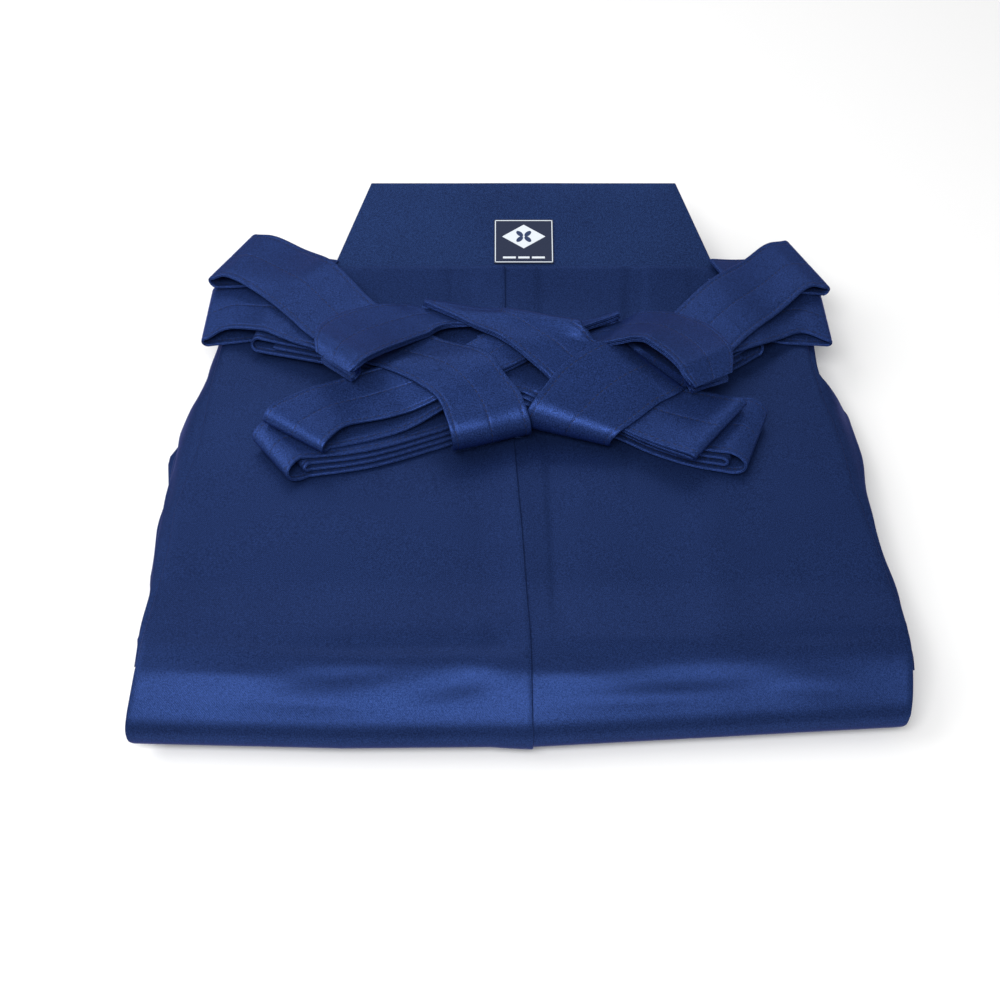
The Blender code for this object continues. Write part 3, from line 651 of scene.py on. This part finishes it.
# Damask-woven thread in three colours: matt, with the pale design standing out from the ground.
pale_shapes, dark_shapes = woven_label()
ground = ((-LABEL_WIDTH / 2, LABEL_SPAN[0]), (LABEL_WIDTH / 2, LABEL_SPAN[0]),
          (LABEL_WIDTH / 2, LABEL_SPAN[1]), (-LABEL_WIDTH / 2, LABEL_SPAN[1]))
label_base = make_prisms("label_woven_ground", [label_patch(ground, BOARD, LABEL_THREAD)],
                         matt("label_navy_weave", "17233f"), nodes=["label"],
                         slot="label_cloth", sharp=0.5)
label_pale = make_prisms("label_pale_threads",
                         [label_patch(shape, BOARD + 0.6, 0.35) for shape in pale_shapes],
                         matt("label_pale_weave", "dfe6ee"), sharp=0.5)
label_dark = make_prisms("label_flower_threads",
                         [label_patch(shape, BOARD + LABEL_THREAD, 0.3) for shape in dark_shapes],
                         matt("label_blue_weave", "24365c"), sharp=0.5)


# ------------------------------------------------------------------ front panels
# The two front halves run from the waist over the board's foot, down the stack and round the
# near fold. The left laps over the right at the centre pleat; other pleats show at the waist.

FRONT_EDGES = (
    (168, -174, 172), (90, -178, 174), (50, -180, 178), (15, -182, 183), (-10, -185, 186),
    (-31, -188, 189), (-57, -189, 192), (-90, -191, 197), (-103, -192, 200), (-127, -195, 200),
    (-150, -199, 199), (-168, -201, 197),
)
FRONT_OUTSET = 4.8      # middle of the front's cloth outside the stack
SIDE_TUCK = 11.0        # how far the near corners draw in where the fold turns under
TUCK_REACH = 45.0       # width of the part of each half that draws in
TUCK_START, TUCK_LENGTH = 1.85, 0.75    # where on the body's run it starts, and over how much
UNDERLAP = 13.0         # how far the right half runs on under the left
LAP_RISE = 1.35         # the left half's edge rides this high over the right
LAP_REACH = 20.0        # and comes down over this width
FLAT_END = -115.0       # y from where the front lies on the pile, after a blend of this length
FLAT_BLEND = 40.0
SWELL_RUN = 40.0        # length that each half of the fold counts for in the swellings
FLAT_ROWS, FOLD_ROWS = 96, 48
COLUMN_WIDTH = 2.8
# Pleats: x at the waist (y 160), at y 20 and at the near fold (y -170), the step down to their
# right in mm, and y between which the step fades out.
PLEATS = (
    (-42.3, -40.0, -38.0, 0.22, 60, 0), (67.5, 60.0, 52.0, 0.4, 40, -40),
    (80.7, 72.0, 62.0, -0.25, 60, 0), (107.5, 98.0, 86.0, 0.2, 60, -20),
    (13.0, 15.0, 18.5, 0.35, -80, -130),
)
PLEAT_HALF = 0.45       # half the width of a step
PLEAT_FADE = 18.0       # the step dies away over this width
# Soft creases and swellings: x, y on the plan, half widths across and along, turn in degrees
# and height in mm. Below y -115 the y counts along the cloth, round the fold.
SWELLS = (
    (-60, -123, 60, 10, 4, -1.3), (-150, -128, 45, 9, -5, 1.1), (-25, -100, 12, 26, 22, 0.9),
    (-8, -118, 9, 16, -12, -0.8), (60, -121, 70, 11, -3, 1.2), (150, -118, 40, 12, 6, -1.1),
    (-110, -60, 60, 30, 20, 0.5), (90, -50, 40, 50, 10, -0.6), (-120, 20, 40, 50, -10, 0.5),
    (150, 20, 30, 60, 12, 0.6), (40, -70, 25, 60, -4, 0.4), (-60, -135, 75, 8, 0, 0.8),
    (-150, -150, 40, 9, -6, 1.0), (-95, -152, 30, 8, 5, -0.9), (-30, -158, 26, 10, 18, -1.4),
    (-12, -148, 10, 14, 30, 1.2), (25, -150, 30, 9, -6, 0.9), (95, -155, 45, 9, 4, -1.1),
    (150, -160, 30, 12, -14, 1.3), (60, -170, 40, 8, 3, 0.8), (-110, -172, 40, 8, -3, 0.7),
    (105, -60, 13, 90, -2, 0.7),
)


def swell(x, s):
    """Sum of the soft swellings at x and s: each falls as the bell curve of its turned,
    scaled distance."""
    total = np.zeros(np.broadcast(x, s).shape)
    for cx, cy, wide, long, turn, height in SWELLS:
        c, d = math.cos(math.radians(turn)), math.sin(math.radians(turn))
        across_part = ((x - cx) * c + (s - cy) * d) / wide
        along_part = ((s - cy) * c - (x - cx) * d) / long
        total = total + height * np.exp(-across_part ** 2 - along_part ** 2)
    return total


def pleat_line(pleat, y):
    """x of a pleat's line at y."""
    return read_table(((160, pleat[0]), (20, pleat[1]), (-170, pleat[2])), y)


def front_panel(side, field):
    """A front half. Rows run from the waist to the fold, then round it; columns run from the
    outline to the centre and keep to both sides of each pleat's line. Where it is flat its height
    is the resting height over the pile, which passes into the fold's own curve by a smooth step;
    pleat steps and swellings are added square to it. The near corners draw in as the fold turns
    under, in proportion to the nearness of the edge."""
    share = np.concatenate([np.linspace(0, 1, FLAT_ROWS), np.linspace(1, 3, FOLD_ROWS + 1)[1:]])
    y = body_point(np.zeros(len(share)), share, 0.0)[:, 1]
    outer = edge_line(FRONT_EDGES, y, side) + 0.5 * np.sin(y / 13) + 0.4 * np.sin(y / 29)
    centre = read_table(PLEAT_LINE, y)
    mine = [p for p in PLEATS if (p[0] > centre[0]) == (side == "right")]
    mine.sort(key=lambda p: -abs(p[0]))
    sign = 1 if side == "right" else -1
    knots = [outer]
    for pleat in mine:
        line = pleat_line(pleat, y)
        knots += [line + sign * PLEAT_HALF, line - sign * PLEAT_HALF]
    knots += [centre - (UNDERLAP if side == "right" else 0.0)]
    columns = [knots[0][:, None]]
    for first, last in zip(knots[:-1], knots[1:]):
        count = max(1, int(abs(first - last).mean() / COLUMN_WIDTH))
        columns.append(first[:, None] + (last - first)[:, None] * np.arange(1, count + 1) / count)
    x = np.hstack(columns)
    near_edge = np.clip(1 - np.abs(x - outer[:, None]) / TUCK_REACH, 0, 1)
    tucked = np.clip((share - TUCK_START) / TUCK_LENGTH, 0, 1) ** 1.5
    x -= sign * SIDE_TUCK * near_edge * tucked[:, None]
    grid = body_point(x, np.repeat(share[:, None], x.shape[1], 1), FRONT_OUTSET)
    flat = np.clip((grid[..., 1] - FLAT_END) / FLAT_BLEND, 0, 1)
    flat = flat * flat * (3 - 2 * flat)
    resting = pile.read(field, grid)
    grid[..., 2] = np.where(share[:, None] <= 1, grid[..., 2] * (1 - flat) + resting * flat,
                            grid[..., 2])
    lift = swell(x, grid[..., 1] - SWELL_RUN * np.clip(share - 1, 0, 2)[:, None])
    for pleat in mine:
        line = pleat_line(pleat, y)[:, None]
        fade = np.clip((y - pleat[5]) / (pleat[4] - pleat[5]), 0, 1)[:, None]
        beside = (np.clip((x - line) / (2 * PLEAT_HALF) + 0.5, 0, 1)
                  * np.clip(1 - (x - line) / PLEAT_FADE, 0, 1))
        lift = lift - pleat[3] * fade * beside
    to_centre = np.abs(x - centre[:, None])
    if side == "left":
        lift = lift + LAP_RISE * np.clip(1 - to_centre / LAP_REACH, 0, 1) ** 0.7
    up = grid_normals(grid)
    grid = grid + up * lift[..., None] * np.sign(up[:1, :1, 2:])
    return cloth_wall(grid, PANEL_WALL / 2)


front_field = pile.resting(PANEL_WALL, bend=4, bridge=150)
for side in ("right", "left"):
    points, quads = front_panel(side, front_field)
    pile.add(points, quads)
    panel = make_piece("front_panel_" + side + "_cloth", points, quads, navy_twill,
                       ["front_panel_" + side], "navy_cloth", uv=points[:, :2])
pile.top = np.maximum(pile.top, BOARD_REST)     # straps that reach past the edges stay level


# ------------------------------------------------------------------ front straps, first stretches
# Each strap is 42 mm of doubled twill over interlining, sewn along both edges and the middle.
# The front straps leave the waist under the others and fold back over themselves at the sides.

STRAP_WIDTH = 42.0
STRAP_WALL = 1.8
DOUBLED = 3.7           # two strap layers lying together
# Where the columns lie across the strap, and how far each face is pressed in there by the seams.
STRAP_COLUMNS = (
    (0, 0.12), (0.8, 0), (1.9, 0.03), (2.5, 0.26), (3.1, 0.03), (4.4, 0), (8, 0), (14, 0),
    (19.4, 0), (20.5, 0.05), (21, 0.22), (21.5, 0.05), (22.6, 0), (28, 0), (34, 0), (37.6, 0),
    (38.9, 0.03), (39.5, 0.26), (40.1, 0.03), (41.2, 0), (42, 0.12),
)
STRAP_PROFILE = np.array([across for across, _ in STRAP_COLUMNS]) / STRAP_WIDTH
STRAP_HALF = STRAP_WALL / 2 - np.array([pressed for _, pressed in STRAP_COLUMNS])
SEAM_LINES = (2.5, 21.0, 39.5)
STIFF = 0.85            # share of a strap's bends that its interlining keeps out
SPREAD, SPREAD_FULL = 48.0, 64.0    # drawn wider, a strap is spread by a bend, and is less stiff
DRAW_IN = 6.0           # a fold starts one row further in for each of these mm it stands open
LAY_STEP = 0.8          # mm between the rows in which a strap's resting height is worked out
EVEN_REACH = 8.0        # the slope across a strap is evened this far each way along it
COVER_ROOM = 3.1        # a strap pressed under another keeps this far below its middle
COVER_ROWS = 16         # rows over which that press is evened
TUCK_AHEAD = 14.0       # where a tucked end reads the height of what it comes down to
PLY = 0.96              # middle of one ply from the middle of a doubled strap
LOOP_OPEN, LOOP_FADE = 1.9, 20.0    # opening of the loop at its end, and how soon it dies away

# Stretches of strap: each row is x and y of the near edge, then x and y of the far edge.
FRONT_LEFT_UNDER = ((-125, 112, -118, 150), (-155, 102, -152, 142), (-185, 97, -183, 140))
FRONT_LEFT_OVER = (
    (-185, 97, -183, 140), (-172, 104, -168, 143), (-150, 97, -146, 137), (-137, 90, -130, 131),
    (-118, 82, -108, 122),
)
FRONT_RIGHT_UNDER = ((125, 112, 118, 148), (155, 100, 152, 140), (186, 97, 184, 137))
FRONT_RIGHT_OVER = (
    (186, 97, 184, 137), (171, 104, 168, 142), (157, 97, 152, 136), (142, 87, 134, 127),
    (120, 77, 112, 118),
)


def smooth_rows(rows, step):
    """Rows along a smooth curve through the table's rows, about one step apart: between two rows
    the cubic that also heeds the row before and the row after."""
    rows = np.asarray(rows, float)
    ends = np.vstack([2 * rows[0] - rows[1], rows, 2 * rows[-1] - rows[-2]])
    out = []
    for k in range(len(rows) - 1):
        p0, p1, p2, p3 = ends[k:k + 4]
        middle = (p2 - p1).reshape(-1, 2).mean(axis=0)
        count = max(1, int(round(np.hypot(*middle) / step)))
        t = np.arange(count)[:, None] / count
        out.append(p1 + 0.5 * t * (p2 - p0 + t * (2 * p0 - 5 * p1 + 4 * p2 - p3
                                                  + t * (3 * (p1 - p2) + p3 - p0))))
    return np.vstack(out + [rows[-1:]])


def strap_plan(edges):
    """The strap's columns on the plan, between its two edges."""
    share = STRAP_PROFILE[None, :, None]
    return edges[:, None, :2] * (1 - share) + edges[:, None, 2:] * share


def length_along(line):
    """Length from the start of a line of points to each of them."""
    return np.concatenate([[0], np.cumsum(np.linalg.norm(np.diff(line, axis=0), axis=1))])


def even_rows(rows, step):
    """The same rows of points read again at even steps of the middle column's length."""
    middle = rows[:, rows.shape[1] // 2]
    length = length_along(middle)
    spots = np.linspace(0, length[-1], max(3, int(round(length[-1] / step)) + 1))
    flat = rows.reshape(len(rows), -1)
    read = np.stack([np.interp(spots, length, column) for column in flat.T], -1)
    return read.reshape(len(spots), *rows.shape[1:])


def turn_rows(low, high, next_row, count=10, bulge=1.0):
    """Rows round the half ellipse from a lower row to the one folded back over it. It bulges
    square to the row, away from the next row, by bulge times half its height."""
    line = unit((low[-1] - low[0]) * (1, 1, 0))
    out = (low - next_row).mean(axis=0) * (1, 1, 0)
    out = unit(out - line * out.dot(line))
    angles = np.linspace(0, np.pi, count + 2)[1:-1, None, None]
    middle = (low + high) / 2
    radius = np.linalg.norm(high - low, axis=1)[:, None] / 2
    return middle + out * bulge * radius * np.sin(angles) + (low - middle) * np.cos(angles)


def stiffened(height, step, bridge, lean):
    """Heights of a stiff strap whose rows stay straight across: each row takes a share, lean, of
    the evened slope of its own heights, and rests on its highest point; along the strap the rows
    are bridged by the largest parabola that fits over them."""
    share = STRAP_PROFILE - 0.5
    slope = (height * share).sum(axis=1) / (share ** 2).sum() - height.mean(axis=1) * (
        share.sum() / (share ** 2).sum())
    reach = int(EVEN_REACH / step)
    padded = np.pad(slope, reach, mode="edge")
    slope = lean * np.convolve(padded, np.ones(2 * reach + 1) / (2 * reach + 1), "valid")
    level = (height - slope[:, None] * share).max(axis=1)
    count = len(level)
    far = (np.arange(count)[:, None] - np.arange(count)) * step
    fall = far ** 2 / (2 * bridge)
    spread = (level[None, :] - fall).max(axis=1)
    level = (spread[None, :] + fall).min(axis=1)
    return level[:, None] + slope[:, None] * share


def pressed_under(height, plan, cover):
    """Heights of a strap pressed down clear of a cover's rows above it. The press is the least
    room in each row, then the least of several rows, evened by their running mean."""
    over = Pile()
    over.add(*cloth_wall(cover, 0.1))
    i = np.rint(plan[..., 0] - Pile.WEST).astype(int)
    j = np.rint(plan[..., 1] - Pile.SOUTH).astype(int)
    room = np.where(over.top[i, j] > 0, over.top[i, j] - COVER_ROOM - height, 0)
    room = np.pad(np.minimum(room, 0).min(axis=1), COVER_ROWS - 1, mode="edge")
    low = np.array([room[k:k + COVER_ROWS].min() for k in range(len(room) - COVER_ROWS + 1)])
    return height + np.convolve(low, np.ones(COVER_ROWS) / COVER_ROWS, "valid")[:, None]


class Ribbon:
    """A strap laid on the pile in stretches, on the first of its heaps, and added to all of them.
    A stretch with a turn is folded back over the one before it, with that bulge."""

    def __init__(self, wall=STRAP_WALL, heaps=(pile,)):
        self.wall, self.heaps, self.rows = wall, heaps, None

    def lay(self, table, turn=0.0, rise=((0, 0), (1, 0)), tuck=False, bend=3.0, bridge=90.0,
            lean=1.0, tip=((0, 0), (1, 0)), cover=None, step=2.0):
        """Rests the stretch on its heap, straight across where its rows are square to it. Rise is
        a table of distance from its start and height of the air below it; tip is the same for
        the near edge alone, and falls to nothing at the far one. The stretch keeps below the
        rows of a cover, a tucked end turns under, and rows lie a step apart."""
        edges = smooth_rows(table, LAY_STEP)
        plan = strap_plan(edges)
        heap = self.heaps[0]
        height = heap.read(heap.resting(self.wall, bend, bridge), plan)
        from_start = length_along(plan[:, len(STRAP_PROFILE) // 2])
        width = np.linalg.norm(edges[:, 2:] - edges[:, :2], axis=1)[:, None]
        stiff = STIFF * np.clip((SPREAD_FULL - width) / (SPREAD_FULL - SPREAD), 0, 1)
        height = height + stiff * (stiffened(height, LAY_STEP, bridge, lean) - height)
        height = height + read_table(rise, from_start)[:, None]
        height = height + read_table(tip, from_start)[:, None] * (1 - STRAP_PROFILE)
        if cover is not None:
            height = pressed_under(height, plan, cover)
        laid = even_rows(np.concatenate([plan, height[..., None]], -1), step)
        if tuck:
            laid = np.concatenate([laid, self.tucked_end(laid)])
        if self.rows is None:
            fresh = self.rows = laid
        elif turn:
            draw_in = int((laid[0] - self.rows[-1])[:, 2].mean() / DRAW_IN)
            first = self.rows[:len(self.rows) - draw_in]
            laid = laid[draw_in:]
            fresh = np.concatenate([turn_rows(first[-1], laid[0], laid[1], 12, turn), laid])
            self.rows = np.concatenate([first, fresh])
        else:
            self.rows = np.concatenate([self.rows, laid[1:]])
            fresh = laid
        points, quads = cloth_wall(fresh, self.wall / 2)
        for each in self.heaps:
            each.add(points, quads)
        return self

    def tucked_end(self, laid):
        """Rows that turn the end under: an elliptic arc of 144 degrees, a quarter longer ahead
        than it is deep, that comes down to the cloth below it."""
        ahead = unit(laid[-1] - laid[-3])
        up = unit(np.cross(laid[-1, -1] - laid[-1, 0], ahead))
        up *= np.sign(up[:, 2:])
        below = self.heaps[0].read(self.heaps[0].top, laid[-1] + TUCK_AHEAD * ahead)
        floor = np.median(below) + self.wall / 2 + 0.3
        radius = ((laid[-1, :, 2] - floor) / (1 + up[:, 2]))[:, None]
        angle = np.radians(np.arange(8, 152, 8))[:, None, None]
        return laid[-1] + radius * (1.25 * ahead * np.sin(angle) - up * (1 - np.cos(angle)))

    def plies(self):
        """The strap's middle surface. Where it lies doubled it goes out below and comes back
        above, and the loop at its end stands open by a falling exponential."""
        if self.wall < DOUBLED:
            return self.rows
        normal = grid_normals(self.rows)
        normal = normal * np.sign(normal[-1:, 10:11, 2:])
        to_end = np.linalg.norm(self.rows[:, 10] - self.rows[-1, 10], axis=1)[:, None, None]
        gap = PLY + LOOP_OPEN * np.exp(-to_end / LOOP_FADE)
        below, above = self.rows - normal * PLY, self.rows + normal * gap
        loop = turn_rows(below[-1], above[-1], above[-2], 6)
        return np.concatenate([below, loop, above[::-1]])


STITCH, STITCH_PITCH = 2.4, 3.6
THREAD_HALF = 0.26      # half a stitch's width, drawn a little thicker than real thread


def read_along(length, values, spots):
    """Points or directions read at spots along a line."""
    return np.stack([np.interp(spots, length, values[:, k]) for k in range(3)], -1)


def stitches(rows, half):
    """Thread along the seam lines on both faces: each stitch is a four-sided bar that tapers at
    its ends, between four stops along the line."""
    normal = grid_normals(rows)
    bars = []
    for seam in SEAM_LINES:
        column = np.argmin(np.abs(STRAP_PROFILE * STRAP_WIDTH - seam))
        line, up = rows[:, column], normal[:, column]
        length = length_along(line)
        starts = np.arange(1.5, length[-1] - 3, STITCH_PITCH)
        for face in (1, -1):
            surface = line + up * face * (half[column] + 0.03)
            stops = [read_along(length, surface, starts + ahead)
                     for ahead in (0.0, 0.4, STITCH - 0.4, STITCH)]
            ups = read_along(length, up, starts + STITCH / 2) * face
            side = THREAD_HALF * unit(np.cross(stops[3] - stops[0], ups))
            rings = [np.stack([p + side, p + ups * 0.12, p - side, p - ups * 0.2], 1)
                     for p in stops[1:3]]
            bars.append(np.concatenate([stops[0][:, None], *rings, stops[3][:, None]], 1))
    bars = np.concatenate(bars)
    ring = np.array((1, 2, 3, 4))
    faces = [(0, b, a) for a, b in zip(ring, np.roll(ring, -1))]
    faces += [(a, b, b + 4, a + 4) for a, b in zip(ring, np.roll(ring, -1))]
    faces += [(9, a + 4, b + 4) for a, b in zip(ring, np.roll(ring, -1))]
    all_faces = [[k + start for k in face] for start in range(0, 10 * len(bars), 10)
                 for face in faces]
    return bars.reshape(-1, 3), all_faces


# The straps' twill is the same cloth, pressed flat, with its colour painted a shade lighter all
# over: painted light, standing in for the light that the straps catch. Their sewing thread is matt
# and darker than the cloth, so that the seams read as fine dark lines.
strap_twill_painted_light = satin_twill("navy_strap_twill_painted_light", "1a2950", "2f4684", thread_mm=0.8, stretch=0.0)
thread = matt("navy_sewing_thread", "0c1330")


def make_strap(name, rows, nodes):
    """A strap's cloth as a closed wall of two plies, and its sewing as bars of thread. The flat
    cut is the strap's width and the length of its middle line, which are its grain's map too."""
    points, quads = cloth_wall(rows, STRAP_HALF[None, :, None], plies=2)
    length = length_along(rows[:, rows.shape[1] // 2])
    across = STRAP_PROFILE[None, :] * STRAP_WIDTH
    grain = np.stack(np.broadcast_arrays(across, length[:, None]), -1).reshape(-1, 2)
    border = grain[rim(*rows.shape[:2])]
    loops = (len(points) - 2 * len(grain)) // len(border)
    piece = make_piece(name, points, quads, strap_twill_painted_light, nodes, "strap_cloth",
                       uv=np.vstack([grain, grain] + [border] * loops), sharp=1.2)
    sewing = make_prisms(name + "_stitching", [stitches(rows, STRAP_HALF)], thread)


corner_left = Ribbon().lay(FRONT_LEFT_UNDER)
corner_right = Ribbon().lay(FRONT_RIGHT_UNDER)


# ------------------------------------------------------------------ strap bundles
# The long front straps, each folded to and fro into a flat bundle of four layers. The bundles
# cross under the knot. Their ends show nested loops of doubled cloth.

# Rows as in the tables of stretches.
BUNDLE_RIGHT_TO_LEFT = (
    (148, 90, 134, 124), (120, 72, 106, 112), (80, 58, 66, 98), (40, 44, 26, 84),
    (0, 31, -14, 71), (-37, 18, -51, 58), (-81, 1, -94, 41), (-125, -8, -149, 17),
)
BUNDLE_LEFT_TO_RIGHT = (
    (-160, 91, -152, 124), (-122, 81, -110, 121), (-80, 66, -66, 106), (-30, 47, -16, 87),
    (20, 31, 34, 71), (54, 22, 66, 62), (75, 11, 88, 51), (99, 1, 111, 40), (124, -5, 142, 36),
)
STAGGER = 2.3           # each layer of a bundle lies this much further from the near side
# Rows that each layer of a bundle stops short of its first and its last end, from the lowest up.
BUNDLE_TRIMS = ((3, 5), (8, 7), (3, 7), (10, 5))
INNER_BULGE, HIDDEN_BULGE, OUTER_BULGE = 2.2, 1.0, 1.9


def bundle(table, pitch_end, pitch_middle=2.05, bridge=400.0):
    """A strap wound flat in four layers, as one run of rows. Layer heights are whole and half
    pitches over the resting surface; the pitch is greatest at the ends, by the fifth power of
    the distance from the middle. It starts inside, goes round the inner loop at the far end,
    back, round the hidden end, out at the bottom, round the outer loop and back on top."""
    plan = strap_plan(smooth_rows(table, LAY_STEP))
    height = pile.read(pile.resting(0.4, bend=3.0, bridge=bridge), plan)
    base = even_rows(np.concatenate([plan, height[..., None]], -1), 2.0)
    to_end = np.abs(np.linspace(-1, 1, len(base)))[:, None]
    pitch = pitch_middle + (pitch_end - pitch_middle) * to_end ** 5
    aside = STAGGER * unit(base[:, -1:] - base[:, :1])
    up = np.array((0, 0, 1.0))
    layer = [(base + ((k + 0.5) * pitch)[..., None] * up + k * aside)[first:-last]
             for k, (first, last) in enumerate(BUNDLE_TRIMS)]
    out, inside_out, inside_back, back = layer[0], layer[1], layer[2][::-1], layer[3][::-1]
    rows = np.concatenate([
        inside_out, turn_rows(inside_out[-1], inside_back[0], inside_back[1], 12, INNER_BULGE),
        inside_back, turn_rows(inside_back[-1], out[0], out[1], 12, HIDDEN_BULGE),
        out, turn_rows(out[-1], back[0], back[1], 22, OUTER_BULGE), back,
    ])
    points, quads = cloth_wall(rows, STRAP_WALL / 2)
    pile.add(points, quads)
    return rows


lower_rows = bundle(BUNDLE_RIGHT_TO_LEFT, pitch_end=3.6)
upper_rows = bundle(BUNDLE_LEFT_TO_RIGHT, pitch_end=3.3)
make_strap("strap_bundle_lower_cloth", lower_rows, ["strap_bundle_lower"])
make_strap("strap_bundle_upper_cloth", upper_rows, ["strap_bundle_upper"])


# ------------------------------------------------------------------ strap corners
# The front straps come back over themselves at the sides, and run in to the knot.

CORNER_RISE = ((0, 1.6), (8, 1.8), (25, 0.7), (40, 0))
corner_left.lay(FRONT_LEFT_OVER, turn=1.0, rise=CORNER_RISE)
corner_right.lay(FRONT_RIGHT_OVER, turn=1.0, rise=CORNER_RISE)
make_strap("front_strap_corner_left_cloth", corner_left.plies(), ["front_strap_corner_left"])
make_strap("front_strap_corner_right_cloth", corner_right.plies(), ["front_strap_corner_right"])


# ------------------------------------------------------------------ crossed straps
# The rear straps leave the board's foot, fold at the rear corners and cross in front; the front
# straps' doubled bands run behind them and fold into two arms, which end in the flaps.

REAR_RIGHT_ROOT = ((131.6, 134, 119.6, 162), (152, 136, 150, 171), (187.5, 134, 168, 181))
REAR_RIGHT_DIAGONAL = (
    (187.5, 134, 168, 181), (177, 134, 155, 176), (162, 119, 138, 157), (140, 95, 112, 131),
    (120, 72, 88, 105), (97, 49, 62, 80),
)
REAR_RIGHT_LOOP = (
    (97, 49, 62, 80), (91, 42.5, 50, 72.5), (80.5, 36.5, 37, 64), (69, 26, 23.5, 52.5),
    (59, 17.5, 12.5, 36),
)
REAR_LEFT_ROOT = ((-122, 134, -110, 160), (-150, 137, -150, 171), (-186, 138, -165, 186))
REAR_LEFT_DIAGONAL = (
    (-186, 138, -165, 186), (-176, 140, -150, 183), (-158, 127, -133, 171), (-140, 109, -109, 148),
    (-119, 86, -84, 116), (-87, 60, -48, 84), (-63, 47, -20, 66), (-50, 37, -9, 51),
    (-43, 28, 0, 38), (-40, 19.5, 2.5, 32),
)
BAND_RIGHT = (
    (99, 34, 120, 46), (93, 39, 121.5, 61), (88, 48, 117, 76), (80, 58, 108, 89),
    (68, 67, 90, 99), (50, 70, 71, 101), (-23, 80, 60, 97),
)
ARM_TO_LEFT = (
    (-23, 80, 60, 97), (-30, 76, 39, 87), (-44, 68, 5, 64), (-52, 63, -12, 54), (-60, 58, -20, 48),
)
FLAP_LEFT_UNDER = (
    (-23, 45, -63, 55), (-45, 31, -72, 58), (-62, 21, -80, 58), (-81, 14, -94, 52),
    (-106, 6, -140, 28),
)
FLAP_LEFT_OVER = (
    (-106, 6, -140, 28), (-95, 19, -114, 45), (-70, 26, -88, 55), (-49, 34, -72, 58),
    (-24, 46, -63, 56),
)
BAND_LEFT = (
    (-95, 41, -113, 59), (-89, 45, -115.5, 70), (-81, 54, -113, 83), (-70, 66, -104, 95),
    (-54, 81, -87, 106), (-33, 93, -68, 112), (36, 81, -57, 111),
)
ARM_TO_RIGHT = (
    (36, 81, -57, 111), (41, 77, -33, 93), (49, 71, -5, 70), (58, 64, 20, 47), (73, 57, 39, 32),
    (92, 49, 57, 20.5), (110, 43, 76, 9), (127.5, 36, 96, -2),
)
BAND_RIGHT_UNDER = ((96, 46, 118, 59), (99, 37, 120.5, 50))
BAND_LEFT_UNDER = ((-91, 51, -110, 70), (-95, 43, -113.5, 62))
# Air below a stretch: distance from its start, height; the tips are the near edge's alone.
DIAGONAL_RISE = ((0, 2.0), (8, 2.2), (25, 1.0), (45, 0))
BAND_RIGHT_RISE = ((0, 4), (6, 6), (14, 8), (30, 8), (50, 6), (66, 2), (80, 0))
BAND_RIGHT_TIP = ((0, 0), (14, 0), (30, 2), (50, 5), (64, 4), (78, 0))
LOOP_RISE = ((0, -5), (5, -1.5), (9, 0))
BAND_LEFT_RISE = ((0, 6), (6, 8), (14, 8.5), (30, 7.5), (60, 3.0), (75, 0))
BAND_LEFT_TIP = ((0, 0), (14, -1), (30, -3), (60, -3), (75, 0))
ARM_RISE = ((0, 0.7), (8, 0.5), (22, 0), (112, 0), (142, 2))
FLAP_RISE = ((0, 7.5), (20, 8.2), (50, 6.5), (80, 2.5))
FLAP_TIP = ((0, -2.5), (20, -4), (60, -4), (90, 0))
TAUT = 220.0            # bridge radius of a strap that is pulled tight
UNDER_BAND = slice(8, 46)   # rows of the right band that the arm to the right passes under

# A second heap, without the rear right strap's diagonal and the right band below its arm: the
# arm to the right is laid on it, and so is the rear right strap's end, which comes down beside.
loop_pile = Pile()
loop_pile.top = pile.top.copy()
both = (pile, loop_pile)
rear_right = Ribbon().lay(REAR_RIGHT_ROOT)
rear_right.lay(REAR_RIGHT_DIAGONAL, turn=1.0, rise=DIAGONAL_RISE + ((110, 0), (140, 6)),
               bridge=TAUT)
band_right = Ribbon(DOUBLED).lay(BAND_RIGHT_UNDER)
band_right.lay(BAND_RIGHT, turn=1.0, rise=BAND_RIGHT_RISE, tip=BAND_RIGHT_TIP)
band_right.heaps = both
band_right.lay(ARM_TO_LEFT, turn=1.0)
flap_left = Ribbon(heaps=both).lay(FLAP_LEFT_UNDER)
flap_left.lay(FLAP_LEFT_OVER, turn=1.8, rise=FLAP_RISE, tip=FLAP_TIP)
rear_left = Ribbon(heaps=both).lay(REAR_LEFT_ROOT)
rear_left.lay(REAR_LEFT_DIAGONAL, turn=1.0, tuck=True, rise=DIAGONAL_RISE, bridge=TAUT)
band_left = Ribbon(DOUBLED, both).lay(BAND_LEFT_UNDER)
band_left.lay(BAND_LEFT, turn=1.0, rise=BAND_LEFT_RISE, tip=BAND_LEFT_TIP)
band_left.heaps = (loop_pile, pile)
band_left.lay(ARM_TO_RIGHT, turn=1.0, rise=ARM_RISE, lean=0.6, cover=band_right.rows[UNDER_BAND])
rear_right.heaps = (loop_pile,)
rear_right.lay(REAR_RIGHT_LOOP, tuck=True, rise=LOOP_RISE)

for name, strap, below in (
    ("rear_strap_right", rear_right, "front_strap_corner_right_cloth"),
    ("rear_strap_left", rear_left, "front_strap_corner_left_cloth"),
    ("front_strap_band_right", band_right, "strap_bundle_upper_cloth"),
    ("front_strap_band_left", band_left, "strap_bundle_lower_cloth"),
    ("front_strap_flap_left", flap_left, "strap_bundle_upper_cloth"),
):
    make_strap(name + "_cloth", strap.plies(), [name])
